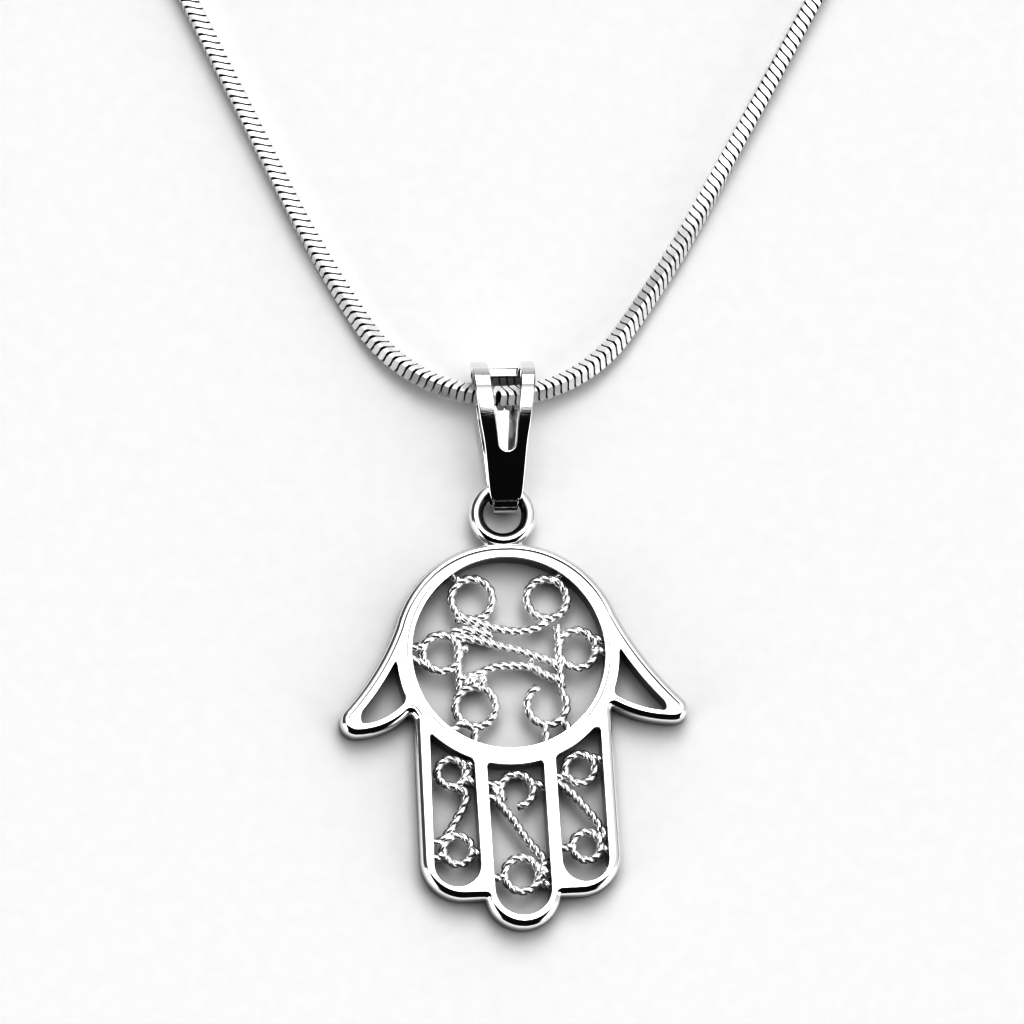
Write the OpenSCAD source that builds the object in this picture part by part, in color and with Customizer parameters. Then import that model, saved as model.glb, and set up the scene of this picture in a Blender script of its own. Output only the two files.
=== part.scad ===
// Hamsa pendant on a snake chain, lying on its back on a flat surface. A pierced hand with rope wire
// filigree hangs by a soldered ring from a forked bail, and the bail slides on a closed loop of chain.
// Millimetres. X runs across the hand, Y from the fingertips to the clasp, Z up from the surface.

/* [Palm] */
// Thickness of the hand's frame
hand_t = 1.8; // [1.6:0.1:2.4]
// Outer radius of the palm's two round sides
palm_r = 7.58; // [7.2:0.02:8]
// Offsets of the palm's sides, left and right, from the middle
palm_x = [-0.16, 0.29]; // [-0.5:0.01:0.5]
// Width of the palm's rim at the top
rim_w = 1.12; // [0.9:0.02:1.3]
// Offset of the palm's opening from the middle
palm_hole_at = [0.06, 0.08]; // [-0.2:0.01:0.2]
// Turn of the hand on the surface, seen from above
hand_turn = 3.1; // [0:0.1:6]

/* [Thumbs, left and right] */
// Radius of the hollow flanks
thumb_flank_r = [18, 22]; // [17:0.5:24]
// Places on the palm's sides where the flanks leave them, in degrees above the middle
thumb_leave_a = [20.4, 24.7]; // [19:0.1:26]
// Slopes at which the flanks meet the round tips
thumb_end_a = [43.7, 45.3]; // [42:0.1:47]
// Radius of the tips
thumb_tip_r = [1.08, 0.9]; // [0.8:0.02:1.2]
// Radius of the round undersides
thumb_under_r = [5.16, 8]; // [5:0.02:8.5]
// Width of the metal along the flanks
thumb_flank_w = [0.95, 1.05]; // [0.8:0.05:1.2]
// Width of the metal along the undersides
thumb_under_w = [0.78, 0.72]; // [0.6:0.02:0.9]
// Distances from the middle of the palm to the outer ends of the openings
thumb_open_end = [10.02, 10.45]; // [9.8:0.01:10.6]
// Radius round the palm's middle at which the openings start
thumb_open_start = 7.5; // [7.4:0.05:7.7]
// Height over the palm's middle above which the openings never reach
thumb_open_top = 0.5; // [0.2:0.1:1]

/* [Fingers] */
// Half the width over the three fingers
fingers_half_w = 6.7; // [6.2:0.1:7]
// Distance from the middle of the palm to the tip of the middle finger
middle_reach = 18.6; // [17.5:0.1:20]
// Distance from the middle of the palm to the tips of the outer fingers
outer_reach = 16.5; // [15.5:0.1:17]
// Radius of the middle fingertip
middle_tip_r = 2.55; // [2.3:0.05:2.8]
// Radius of an outer fingertip
outer_tip_r = 2.8; // [2.4:0.1:3.2]
// Half the width of the middle finger's opening
middle_cell_half = 1.88; // [1.6:0.02:2]
// Width of the bars between the fingers
bar_w = 0.87; // [0.7:0.01:1]
// Width of the metal along the outer sides and tips
finger_wall = 0.85; // [0.7:0.05:1]
// Width by which the left finger narrows towards the palm
left_taper = 0.28; // [0:0.02:0.4]
// Depth below the middle of the palm at which the outer openings start
cell_top = 5.3; // [5.1:0.1:5.8]
// Lean of the fingers to the palm
finger_lean = 1.2; // [0:0.1:3]

/* [Filigree] */
// Thickness of the rope wire
rope_d = 0.64; // [0.5:0.01:0.7]
// Height of the middle of the wire above the surface
rope_z = 1.1; // [0.8:0.05:1.3]

/* [Top ring] */
// Thickness of the ring's wire
ring_wire_d = 0.96; // [0.8:0.02:1]
// Radius of the ring to the middle of its wire
ring_r = 1.76; // [1.72:0.02:2]
// Depth to which the ring's wire is soldered into the rim
ring_seat = 0.25; // [0.1:0.01:0.3]
// Offset of the ring across the palm
ring_x = 0.11; // [0:0.01:0.3]
// Distance of a solder foot from the middle of the ring, across the palm
foot_x = 0.9; // [0.7:0.05:1.1]
// Thickness of a solder foot
foot_d = 0.8; // [0.6:0.05:0.9]

/* [Bail] */
// Length of the bail
bail_len = 10.2; // [9.5:0.1:11.5]
// Thickness of the bail's strip
bail_t = 0.5; // [0.4:0.05:0.55]
// Radius of the fold that holds the ring
fold_r = 1.2; // [1.15:0.05:1.4]
// Radius of the top that rides on the chain
crown_r = 2.1; // [2:0.05:2.5]
// Half the width of the strip at the fold
bail_fold_half = 0.86; // [0.7:0.02:0.9]
// Half the width of the strip at the crown
bail_crown_half = 2.25; // [2.1:0.05:2.6]
// Half the width of the slot at its round end
slot_end_half = 0.56; // [0.4:0.02:0.6]
// Half the width of the slot at the crown
slot_crown_half = 1.2; // [0.8:0.05:1.3]
// Offset of the slot across the strip
slot_shift = 0.1; // [0:0.01:0.15]
// Distance of the slot's round end from the fold
slot_start = 3.9; // [3.4:0.1:4.5]
// Angle past the crown at which the slot ends behind
slot_back_a = 28; // [20:1:40]
// Turn of the bail on the surface, seen from above
bail_turn = 2.7; // [0:0.1:5]
// Offset of the bail across the ring's hole
bail_shift = 0.18; // [0:0.01:0.18]
// Height of the fold over the middle of the ring's hole
bail_rise = 0.05; // [0:0.01:0.1]
// Distance from the top of the bail to the middle of the chain
chain_drop = 2.15; // [2:0.05:2.3]
// Distance that the bail has slid along the chain from the middle of the bend
bail_slide = 0.46; // [0:0.02:1]

/* [Chain] */
// Length of the closed necklace along its middle line
necklace_len = 450; // [400:5:500]
// Thickness of the chain over its edges
chain_d = 1.4; // [1.3:0.05:1.6]
// Radius of the bend at the bail
bend_r = 10.5; // [9:0.5:13]
// Slope of the chain where the bend ends, in degrees from the line to the clasp
bend_a = 34; // [31:1:37]
// Radius of the slow curve above the bend
ease_r = 90; // [70:5:110]
// Slope of the straight strands, in degrees from the line to the clasp
strand_a = 27.2; // [26:0.5:30]
// Distance along the chain from the bail to where it lies down on the surface
lie_down = 13; // [10:1:18]

/* [Clasp] */
// Length of the clasp's barrel
clasp_len = 7; // [6:0.5:10]
// Diameter of the clasp's barrel
clasp_d = 2.5; // [2.4:0.1:3]
// Length of an end cap
cap_len = 4; // [3.5:0.5:6]
// Diameter of an end cap
cap_d = 2; // [1.9:0.1:2.2]
// Depth of the cap's bore
cap_bore_len = 3; // [2.5:0.5:5]
// Radius of the eyes to the middle of their wire
eye_r = 0.95; // [0.95:0.05:1.1]
// Thickness of the eyes' wire
eye_wire_d = 0.6; // [0.5:0.05:0.6]
// Radius of the jump rings to the middle of their wire
jump_r = 1.1; // [1.1:0.05:1.2]
// Thickness of the jump rings' wire
jump_wire_d = 0.56; // [0.5:0.02:0.56]

/* [Fit] */
// Gap between pieces that touch on the real necklace
gap = 0.05; // [0.04:0.01:0.08]

/* [Hidden] */

ROUND = 96;
WIRE_ROUND = 32;
ARC_STEPS = 12;
TUBE_SIDES = 8;
CUT = 1;

// Openings of the hand, worked out from its walls
palm_hole_r = palm_r - rim_w;
outer_cell_in = middle_cell_half + bar_w;
outer_cell_out = fingers_half_w - finger_wall;
outer_cell_half = (outer_cell_out - outer_cell_in) / 2;
outer_cell_x = (outer_cell_out + outer_cell_in) / 2;
outer_cell_end = outer_reach - finger_wall;
middle_cell_end = middle_reach - finger_wall;
outer_tip_c = [fingers_half_w - outer_tip_r, outer_tip_r - outer_reach];
middle_tip_c = [0, middle_tip_r - middle_reach];

// Thumbs: a hollow flank that leaves the palm's side smoothly, a round tip and a round underside. Side
// is 0 for the left thumb and 1 for the right one, and the left one is worked out mirrored. The flank
// starts a little inside the palm, and the joints of the ropes are a little thicker than the ropes,
// because outlines that only touch make no clean solid.
flank_dip = 0.03;
joint_d = 1.05 * rope_d;
under_end_a = [222, 235];
function flank_c(side) = [abs(palm_x[side]), 0]
    + (palm_r - flank_dip + thumb_flank_r[side]) * [cos(thumb_leave_a[side]), sin(thumb_leave_a[side])];
function thumb_tip_c(side) = flank_c(side)
    - (thumb_flank_r[side] + thumb_tip_r[side]) * [cos(thumb_end_a[side]), sin(thumb_end_a[side])];
function under_c(side) = thumb_tip_c(side) + [0, thumb_under_r[side] - thumb_tip_r[side]];

// Filigree of the palm in shares of the palm hole's radius. Loops: [x, y, radius, from, to]
PALM_LOOPS = [
    [-0.34, 0.60, 0.215, 0, 360],
    [0.44, 0.59, 0.21, 0, 360],
    [-0.68, 0.04, 0.19, 0, 360],
    [0.73, 0.05, 0.195, 0, 360],
    [-0.35, -0.53, 0.21, 0, 360],
    [0.39, -0.53, 0.205, 115, 405]];
// Ropes of the palm, each a row of points [x, y]
PALM_ROPES = [
    [[-0.50, 0.40], [-0.22, 0.33], [-0.07, 0.28], [0.12, 0.25], [0.31, 0.28], [0.42, 0.34]],
    [[-0.56, 0.26], [-0.38, 0.28], [-0.15, 0.22]],
    [[-0.55, 0.21], [-0.30, 0.17], [-0.07, 0.10], [0.12, 0.05], [0.26, 0], [0.44, -0.07], [0.53, -0.13]],
    [[-0.51, -0.25], [-0.29, -0.18], [-0.18, -0.13], [-0.07, -0.11], [0.09, -0.11], [0.25, -0.13],
        [0.37, -0.20], [0.55, -0.28]],
    [[-0.51, 0.17], [-0.51, -0.34]],
    [[0.53, 0.30], [0.54, 0.07], [0.54, -0.14], [0.56, -0.34]],
    [[-0.44, 0.78], [-0.56, 0.88]],
    [[0.53, 0.76], [0.60, 0.85]],
    [[-0.84, 0.12], [-1.01, 0.10]],
    [[-1.01, 0], [-0.82, -0.10]],
    [[0.90, 0.03], [1.02, 0.02]],
    [[0.85, 0.18], [1.01, 0.13]],
    [[-0.48, -0.69], [-0.64, -0.79]],
    [[-0.36, -0.74], [-0.38, -0.95]],
    [[0.36, -0.73], [0.37, -0.95]],
    [[0.52, -0.68], [0.63, -0.80]]];
// Solder of the palm: [x, y, radius]
PALM_BALLS = [[-0.43, 0.08, 0.04], [0.25, -0.06, 0.035], [-0.40, -0.26, 0.06], [-0.27, -0.22, 0.06]];

// Filigree of the fingers, across in shares of an opening's half width and along in shares of its
// length. Loops: [across, along, radius, from, to]
LEFT_LOOPS = [[0.03, 0.24, 0.60, 0, 360], [0.08, 0.75, 0.62, 0, 360]];
LEFT_ROPES = [
    [[0.45, 0.17], [1.05, 0.20]],
    [[0.5, 0.29], [1.05, 0.31]],
    [[0.05, 0.33], [0.6, 0.38], [0.5, 0.45], [0.15, 0.54], [-0.15, 0.61], [-0.55, 0.68], [-1.05, 0.70]],
    [[-0.5, 0.78], [-1.05, 0.80]],
    [[0.6, 0.76], [1.05, 0.78]]];
LEFT_BALLS = [[0.75, 0.25, 0.2]];
MIDDLE_LOOPS = [[0.03, 0.155, 0.58, -85, 215], [0, 0.72, 0.61, 0, 360]];
MIDDLE_ROPES = [
    [[-0.5, 0.11], [-1.05, 0.11]],
    [[0.45, 0.10], [1.05, 0.14]],
    [[-1.05, 0.20], [-0.76, 0.21], [-0.44, 0.285], [-0.12, 0.37], [0.2, 0.47], [0.57, 0.56], [0.9, 0.64]],
    [[-0.55, 0.73], [-1.05, 0.74]],
    [[0.9, 0.64], [0.78, 0.68], [0.8, 0.78], [1.05, 0.80]]];
MIDDLE_BALLS = [[-0.75, 0.15, 0.22], [0.8, 0.72, 0.26]];
RIGHT_LOOPS = [[0.05, 0.25, 0.64, 0, 360], [0.12, 0.76, 0.61, 0, 360]];
RIGHT_ROPES = [
    [[-0.5, 0.29], [-1.05, 0.30]],
    [[0.6, 0.18], [1.05, 0.20]],
    [[-1.05, 0.34], [-0.85, 0.35], [-0.4, 0.41], [0.06, 0.49], [0.52, 0.58], [0.78, 0.65], [1.05, 0.71]],
    [[-0.45, 0.76], [-1.05, 0.77]],
    [[0.65, 0.78], [1.05, 0.79]]];
RIGHT_BALLS = [[0.95, 0.93, 0.2]];

// Places along the bail: the crown's middle, the slope of the front and the end of the slot behind
bail_crown_y = bail_len - crown_r;
bail_front_a = 2 * atan((crown_r - fold_r) / (bail_crown_y - fold_r));
slot_back_z = crown_r * (1 - sin(slot_back_a));
// Edge of the bail's strip: [share of the length, share of the flare]
BAIL_EDGE = [[0, 0], [0.06, 0.06], [0.12, 0.25], [0.42, 0.46], [0.62, 0.68], [1, 1]];

// The chain lies on the surface, rises over the bail's back strip and into the caps
tube_r = chain_d / 2;
tube_flat_r = tube_r * cos(180 / TUBE_SIDES);
chain_rest_z = tube_flat_r + gap / 2;
chain_bail_z = bail_t + tube_r + gap;
bail_half_at_chain = bail_fold_half + (bail_crown_half - bail_fold_half) * (1 - chain_drop / bail_len);
cap_z = cap_d / 2;
cap_rise = 4 * cap_d;

// The closing on one straight line: cap, jump ring, clasp, jump ring and cap
jump_z = jump_r + jump_wire_d / 2;
clasp_z = clasp_d / 2;
clasp_eye_x = clasp_len / 2 + eye_r;
jump_x = clasp_eye_x + sqrt(pow(jump_r, 2) - pow(jump_z - clasp_z, 2)) + gap;
cap_eye_x = jump_x + sqrt(pow(jump_r, 2) - pow(jump_z - cap_z, 2)) + gap;
cap_inner_x = cap_eye_x + eye_r;
cap_outer_x = cap_inner_x + cap_len;
chain_end_x = cap_outer_x - cap_bore_len + gap;

// Half of the loop from the bail: the bend, the slow curve, the straight strand, the back arc, and the
// closing line. A place on a curve is worked out from the chain's slope to the line to the clasp.
// The back arc's radius makes the whole loop as long as the necklace.
bend_len = bend_r * (90 - bend_a) * PI / 180;
ease_len = ease_r * (bend_a - strand_a) * PI / 180;
bend_c = [0, bend_r];
ease_c = bend_c + (bend_r - ease_r) * [cos(bend_a), -sin(bend_a)];
ease_end = ease_c + ease_r * [cos(strand_a), -sin(strand_a)];
back_turn = (90 + strand_a) * PI / 180;
back_r = (necklace_len / 2 - bend_len - ease_len - cap_outer_x - (cap_outer_x - ease_end[0]) / sin(strand_a))
    / (back_turn + cos(strand_a) / sin(strand_a));
strand_len = (cap_outer_x + back_r * cos(strand_a) - ease_end[0]) / sin(strand_a);
strand_end = ease_end + strand_len * [sin(strand_a), cos(strand_a)];
back_c = [cap_outer_x, strand_end[1] + back_r * sin(strand_a)];
loop_top = back_c[1] + back_r;
chain_half = necklace_len / 2 - chain_end_x;

// Steps of the tube along each stretch of half the loop
BEND_STEPS = 8;
EASE_STEPS = 2;
STRAND_STEPS = 6;
BACK_STEPS = 18;

// Places on the surface from the chain's lowest point, then the shift that puts the origin under the
// middle of the whole necklace
bail_at = (bail_len - chain_drop) * [sin(bail_turn), -cos(bail_turn)] + [bail_slide, 0];
ring_at = bail_at - [bail_shift, bail_rise];
ring_z = fold_r;
ring_y = palm_r + ring_r + ring_wire_d / 2 - ring_seat;
palm_at = ring_at - [ring_x * cos(hand_turn) - ring_y * sin(hand_turn),
    ring_x * sin(hand_turn) + ring_y * cos(hand_turn)];
low_y = palm_at[1] + middle_tip_c[1] * cos(hand_turn + finger_lean) - middle_tip_r;
high_y = loop_top + max(clasp_d / 2, eye_r + eye_wire_d / 2);
base_y = -(low_y + high_y) / 2;

function arc(c, r, from, to) = [for (i = [0 : ARC_STEPS]) let (a = from + (to - from) * i / ARC_STEPS)
    c + r * [cos(a), sin(a)]];
function smooth(t) = let (s = max(0, min(1, t))) s * s * (3 - 2 * s);

// One place on half of the loop at the distance s from the bail: [x, y, slope to the line to the clasp]
function half_place(s) =
    s < bend_len ? let (a = 90 - s / bend_r * 180 / PI) curve_place(bend_c, bend_r, a)
    : s < bend_len + ease_len ? let (a = bend_a - (s - bend_len) / ease_r * 180 / PI)
        curve_place(ease_c, ease_r, a)
    : s < bend_len + ease_len + strand_len ? let (p = ease_end
        + (s - bend_len - ease_len) * [sin(strand_a), cos(strand_a)]) [p[0], p[1], strand_a]
    : s < necklace_len / 2 - cap_outer_x ? let (a = strand_a
        - (s - bend_len - ease_len - strand_len) / back_r * 180 / PI) curve_place(back_c, back_r, a)
    : [necklace_len / 2 - s, loop_top, -90];
function curve_place(c, r, a) = [c[0] + r * cos(a), c[1] - r * sin(a), a];
function chain_z(s) = chain_rest_z
    + (chain_bail_z - chain_rest_z) * (1 - smooth((s - bail_half_at_chain) / (lie_down - bail_half_at_chain)))
    + (cap_z - chain_rest_z) * smooth((s - chain_half + cap_bore_len + cap_rise) / cap_rise);
function spread(from, len, steps) = [for (i = [0 : steps - 1]) from + len * i / steps];
half_stations = concat(
    spread(0, bend_len, BEND_STEPS),
    spread(bend_len, ease_len, EASE_STEPS),
    spread(bend_len + ease_len, strand_len, STRAND_STEPS),
    spread(bend_len + ease_len + strand_len, back_r * back_turn, BACK_STEPS),
    [necklace_len / 2 - cap_outer_x, chain_half]);
last = len(half_stations) - 1;
stations = concat([for (i = [last : -1 : 1]) -half_stations[i]], half_stations);

// One ring of the tube round a station; the left half mirrors the right one
function tube_ring(s) = let (side = s < 0 ? -1 : 1, p = half_place(abs(s)), out = [cos(p[2]), -sin(p[2])],
        z = chain_z(abs(s)))
    [for (k = [0 : TUBE_SIDES - 1]) let (a = (k + 0.5) * 360 / TUBE_SIDES)
        [side * p[0] + tube_r * cos(a) * side * out[0], p[1] + tube_r * cos(a) * out[1],
            z + tube_r * sin(a)]];

module place() {
    translate([0, base_y, 0]) children();
}

module wire_loop(c, r, d, from, to) {
    translate([c[0], c[1], 0])
        rotate([0, 0, from])
        rotate_extrude(angle = to - from, $fn = ROUND)
        translate([r, 0]) circle(d = d, $fn = WIRE_ROUND);
}

// Flat bands that stand for the ropes: a straight one, a row of them and a loop
module band(from, to) {
    span = to - from;
    translate(from)
        rotate(atan2(span[1], span[0]))
        translate([0, -rope_d / 2]) square([norm(span), rope_d]);
}

module rope(points) {
    for (i = [0 : len(points) - 1]) {
        translate(points[i]) circle(d = joint_d, $fn = WIRE_ROUND);
        if (i > 0) band(points[i - 1], points[i]);
    }
}

module rope_loop(c, r, from, to) {
    inner = r - rope_d / 2;
    outer = r + rope_d / 2;
    if (to - from == 360)
        translate(c) difference() {
            circle(r = outer, $fn = ROUND);
            circle(r = inner, $fn = ROUND);
        }
    else
        polygon(concat(arc(c, outer, from, to), arc(c, inner, to, from)));
}

function palm_point(p) = palm_hole_r * [p[0], p[1]];

module palm_filigree() {
    for (w = PALM_LOOPS) rope_loop(palm_point(w), palm_hole_r * w[2], w[3], w[4]);
    for (w = PALM_ROPES) rope([for (p = w) palm_point(p)]);
    for (b = PALM_BALLS) translate(palm_point(b)) circle(r = palm_hole_r * b[2], $fn = WIRE_ROUND);
}

module cell_filigree(x, half, top, end, loops, ropes, balls) {
    function at(p) = [x + half * p[0], -top - (end - top) * p[1]];
    for (w = loops) rope_loop(at(w), half * w[2], w[3], w[4]);
    for (w = ropes) rope([for (p = w) at(p)]);
    for (b = balls) translate(at(b)) circle(r = half * b[2], $fn = WIRE_ROUND);
}

module plate() {
    linear_extrude(hand_t) children();
}

module palm_shape() {
    for (x = palm_x) translate([x, 0]) circle(r = palm_r, $fn = ROUND);
}

module thumb_shape(side) {
    polygon(concat(
        [[0, 0]],
        arc(flank_c(side), thumb_flank_r[side], 180 + thumb_leave_a[side], 180 + thumb_end_a[side]),
        arc(thumb_tip_c(side), thumb_tip_r[side], thumb_end_a[side], -90),
        arc(under_c(side), thumb_under_r[side], 270, under_end_a[side])));
}

module thumb_opening(side) {
    difference() {
        translate(under_c(side)) circle(r = thumb_under_r[side] - thumb_under_w[side], $fn = ROUND);
        translate(flank_c(side)) circle(r = thumb_flank_r[side] + thumb_flank_w[side], $fn = 2 * ROUND);
        circle(r = thumb_open_start, $fn = ROUND);
        translate([thumb_open_end[side], -outer_reach]) square(2 * outer_reach);
        translate([0, thumb_open_top]) square(2 * outer_reach);
    }
}

module fingers_shape() {
    polygon([[-fingers_half_w, outer_tip_c[1]], [fingers_half_w, outer_tip_c[1]], [fingers_half_w, 0],
        [left_taper - fingers_half_w, 0]]);
    translate([-outer_tip_c[0], -outer_reach]) square([2 * outer_tip_c[0], outer_reach]);
    for (side = [-1, 1])
        translate([side * outer_tip_c[0], outer_tip_c[1]]) circle(r = outer_tip_r, $fn = ROUND);
    translate(middle_tip_c) circle(r = middle_tip_r, $fn = ROUND);
}

module cell_shape(x, half, top, end, taper = 0) {
    polygon([[x - half, half - end], [x + half, half - end], [x + half, -top], [x - half + taper, -top]]);
    translate([x, half - end]) circle(r = half, $fn = ROUND);
}

module finger_cells() {
    difference() {
        union() {
            cell_shape(-outer_cell_x, outer_cell_half, cell_top, outer_cell_end, left_taper);
            cell_shape(0, middle_cell_half, cell_top, middle_cell_end);
            cell_shape(outer_cell_x, outer_cell_half, cell_top, outer_cell_end);
        }
        circle(r = palm_r, $fn = ROUND);
    }
}

module hand_frame() {
    difference() {
        union() {
            plate() palm_shape();
            mirror([1, 0, 0]) plate() thumb_shape(0);
            plate() thumb_shape(1);
            rotate([0, 0, finger_lean]) plate() fingers_shape();
        }
        translate([0, 0, -CUT]) {
            translate(palm_hole_at) cylinder(h = hand_t + 2 * CUT, r = palm_hole_r, $fn = ROUND);
            linear_extrude(hand_t + 2 * CUT) mirror([1, 0]) thumb_opening(0);
            linear_extrude(hand_t + 2 * CUT) thumb_opening(1);
            rotate([0, 0, finger_lean]) linear_extrude(hand_t + 2 * CUT) finger_cells();
        }
    }
}

module top_ring() {
    translate([ring_x, ring_y, ring_z]) wire_loop([0, 0], ring_r, ring_wire_d, 0, 360);
    for (x = [ring_x - foot_x, ring_x + foot_x])
        translate([x, sqrt(pow(palm_r + foot_d / 4, 2) - pow(x, 2)), hand_t / 2])
            sphere(d = foot_d, $fn = WIRE_ROUND);
}

module hand() {
    color("silver")
        place()
        translate(palm_at)
        rotate([0, 0, hand_turn]) {
            hand_frame();
            top_ring();
            translate([0, 0, rope_z - rope_d / 2]) linear_extrude(rope_d) {
                palm_filigree();
                rotate(finger_lean) {
                    cell_filigree(-outer_cell_x, outer_cell_half, cell_top, outer_cell_end,
                        LEFT_LOOPS, LEFT_ROPES, LEFT_BALLS);
                    cell_filigree(0, middle_cell_half, palm_r, middle_cell_end,
                        MIDDLE_LOOPS, MIDDLE_ROPES, MIDDLE_BALLS);
                    cell_filigree(outer_cell_x, outer_cell_half, cell_top, outer_cell_end,
                        RIGHT_LOOPS, RIGHT_ROPES, RIGHT_BALLS);
                }
            }
        }
}

// Side view of the bail's closed strip, as a drop between the fold and the crown
module bail_side(inset) {
    fold = fold_r - inset;
    crown = crown_r - inset;
    slope = [-sin(bail_front_a), cos(bail_front_a)];
    fold_c = [fold_r, fold_r];
    crown_c = [bail_crown_y, crown_r];
    translate(fold_c) circle(r = fold, $fn = ROUND);
    translate(crown_c) circle(r = crown, $fn = ROUND);
    polygon([fold_c - [0, fold], crown_c - [0, crown], crown_c + crown * slope, fold_c + fold * slope]);
}

module bail_width() {
    function half(share) = bail_fold_half + (bail_crown_half - bail_fold_half) * share;
    polygon(concat(
        [for (e = BAIL_EDGE) [half(e[1]), bail_len * e[0]]],
        [for (i = [len(BAIL_EDGE) - 1 : -1 : 0]) [-half(BAIL_EDGE[i][1]), bail_len * BAIL_EDGE[i][0]]]));
}

module bail_slot() {
    start = slot_start + slot_end_half;
    translate([slot_shift, 0]) {
        translate([0, start]) circle(r = slot_end_half, $fn = ROUND);
        polygon([[-slot_end_half, start], [slot_end_half, start],
            [slot_crown_half, bail_len + CUT], [-slot_crown_half, bail_len + CUT]]);
    }
}

module bail() {
    color("silver")
        place()
        translate(bail_at)
        rotate([0, 0, bail_turn])
        difference() {
            intersection() {
                rotate([90, 0, 90])
                    linear_extrude(2 * bail_crown_half + 2 * CUT, center = true) bail_side(0);
                linear_extrude(2 * crown_r) bail_width();
            }
            rotate([90, 0, 90]) linear_extrude(2 * bail_crown_half + 2 * CUT, center = true) bail_side(bail_t);
            translate([0, 0, slot_back_z]) linear_extrude(2 * crown_r) bail_slot();
        }
}

// The chain is made as a plain tube over its plates
module chain() {
    rings = [for (s = stations) tube_ring(s)];
    count = len(rings);
    color("silver")
        place()
        polyhedron(
            points = [for (r = rings) for (p = r) p],
            faces = concat(
                [[for (k = [0 : TUBE_SIDES - 1]) k]],
                [for (i = [0 : count - 2]) for (k = [0 : TUBE_SIDES - 1])
                    let (a = i * TUBE_SIDES + k, b = i * TUBE_SIDES + (k + 1) % TUBE_SIDES)
                    [a, a + TUBE_SIDES, b + TUBE_SIDES, b]],
                [[for (k = [TUBE_SIDES - 1 : -1 : 0]) (count - 1) * TUBE_SIDES + k]]));
}

module end_cap(side) {
    color("silver")
        place()
        translate([0, loop_top, cap_z])
        rotate([0, 0, side > 0 ? 0 : 180]) {
            difference() {
                translate([cap_inner_x, 0, 0])
                    rotate([0, 90, 0]) cylinder(h = cap_len, d = cap_d, $fn = ROUND);
                translate([cap_outer_x - cap_bore_len, 0, 0])
                    rotate([0, 90, 0]) cylinder(h = cap_len, r = tube_r + gap, $fn = ROUND);
            }
            wire_loop([cap_eye_x, 0], eye_r, eye_wire_d, 0, 360);
        }
}

module end_cap_left() {
    end_cap(-1);
}

module end_cap_right() {
    end_cap(1);
}

module jump_ring(side) {
    color("silver")
        place()
        translate([side * jump_x, loop_top, jump_z])
        rotate([90, 0, 0])
        wire_loop([0, 0], jump_r, jump_wire_d, 0, 360);
}

module jump_ring_left() {
    jump_ring(-1);
}

module jump_ring_right() {
    jump_ring(1);
}

module clasp() {
    color("silver")
        place()
        translate([0, loop_top, clasp_z]) {
            translate([-clasp_len / 2, 0, 0])
                rotate([0, 90, 0]) cylinder(h = clasp_len, d = clasp_d, $fn = ROUND);
            for (side = [-1, 1]) wire_loop([side * clasp_eye_x, 0], eye_r, eye_wire_d, 0, 360);
        }
}

hand();
bail();
chain();
end_cap_left();
end_cap_right();
jump_ring_left();
jump_ring_right();
clasp();
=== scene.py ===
import bisect
import math

import bpy
from mathutils import Matrix, Vector, geometry, noise


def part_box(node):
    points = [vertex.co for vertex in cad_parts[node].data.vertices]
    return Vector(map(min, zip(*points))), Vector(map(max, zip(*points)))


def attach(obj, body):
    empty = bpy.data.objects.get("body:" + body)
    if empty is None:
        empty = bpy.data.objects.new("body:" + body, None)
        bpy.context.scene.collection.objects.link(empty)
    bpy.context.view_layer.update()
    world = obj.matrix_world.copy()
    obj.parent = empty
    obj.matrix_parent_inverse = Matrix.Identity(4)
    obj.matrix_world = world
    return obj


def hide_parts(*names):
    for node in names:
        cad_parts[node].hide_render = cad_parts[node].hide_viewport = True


# Hamsa pendant on a snake chain, lying on its back. Sizes are millimetres, and each finished mesh is
# scaled to metres. X runs across the hand, Y from the fingertips to the clasp, Z up from the surface.

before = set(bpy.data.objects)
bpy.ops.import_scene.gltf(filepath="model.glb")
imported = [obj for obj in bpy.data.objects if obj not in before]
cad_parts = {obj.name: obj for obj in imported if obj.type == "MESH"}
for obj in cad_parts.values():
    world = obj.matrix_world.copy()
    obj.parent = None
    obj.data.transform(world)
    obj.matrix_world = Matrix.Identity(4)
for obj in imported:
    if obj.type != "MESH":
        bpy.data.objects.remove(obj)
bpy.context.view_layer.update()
MM = 0.001


# The surface, the light and the camera. The surface is plain white. A soft light hangs overhead in a
# pale tent, and a lamp shines from behind the clasp. The front, where the camera stands, is dark between
# two bright sides. A span is the part of the sky, in x, y or z, over which one light fades to the next.
FLOOR_HALF = 4000
FLOOR_GRAY = 0.9
FLOOR_GRAIN = 0.006
FLOOR_GRAIN_SCALE = 900.0
FLOOR_GRAIN_SPAN = (0.3, 0.7)
SOFTBOX = 1.2
SOFTBOX_SIDE_SPAN = (0.45, 0.7)
SOFTBOX_BACK_SPAN = (0.26, 0.46)
TENT = 0.5
TENT_LEFT = 0.1
TENT_SPAN = (-0.75, -0.25)
SIDE_LIGHT = 1.1
SIDE_SPAN = (0.55, 0.75)
DARK_ROOM = 0.01
FRONT_SPAN = (-0.15, -0.09)
DARK_HORIZON = 0.05
HORIZON_FRONT_SPAN = (-0.05, 0.1)
HORIZON_SIDE_SPAN = (0.3, 0.6)
HORIZON_UP_SPAN = (0.05, 0.22)
SUN_STRENGTH = 0.7
SUN_SIZE = 38
SUN_FROM = Vector((0.03, 0.8, 1.0))
EXPOSURE = 0.755
GAMMA = 0.6
LENS = 1000
SENSOR = 36
FAR_CLIP = 20
VIEW_W = 68.27
LEAN_X = math.radians(6)
LEAN_Y = math.radians(12)
ROLL = math.radians(0.5)
AIM_ACROSS = 0.26
AIM_UP = 9.43
HAND_T = 1.8
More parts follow.
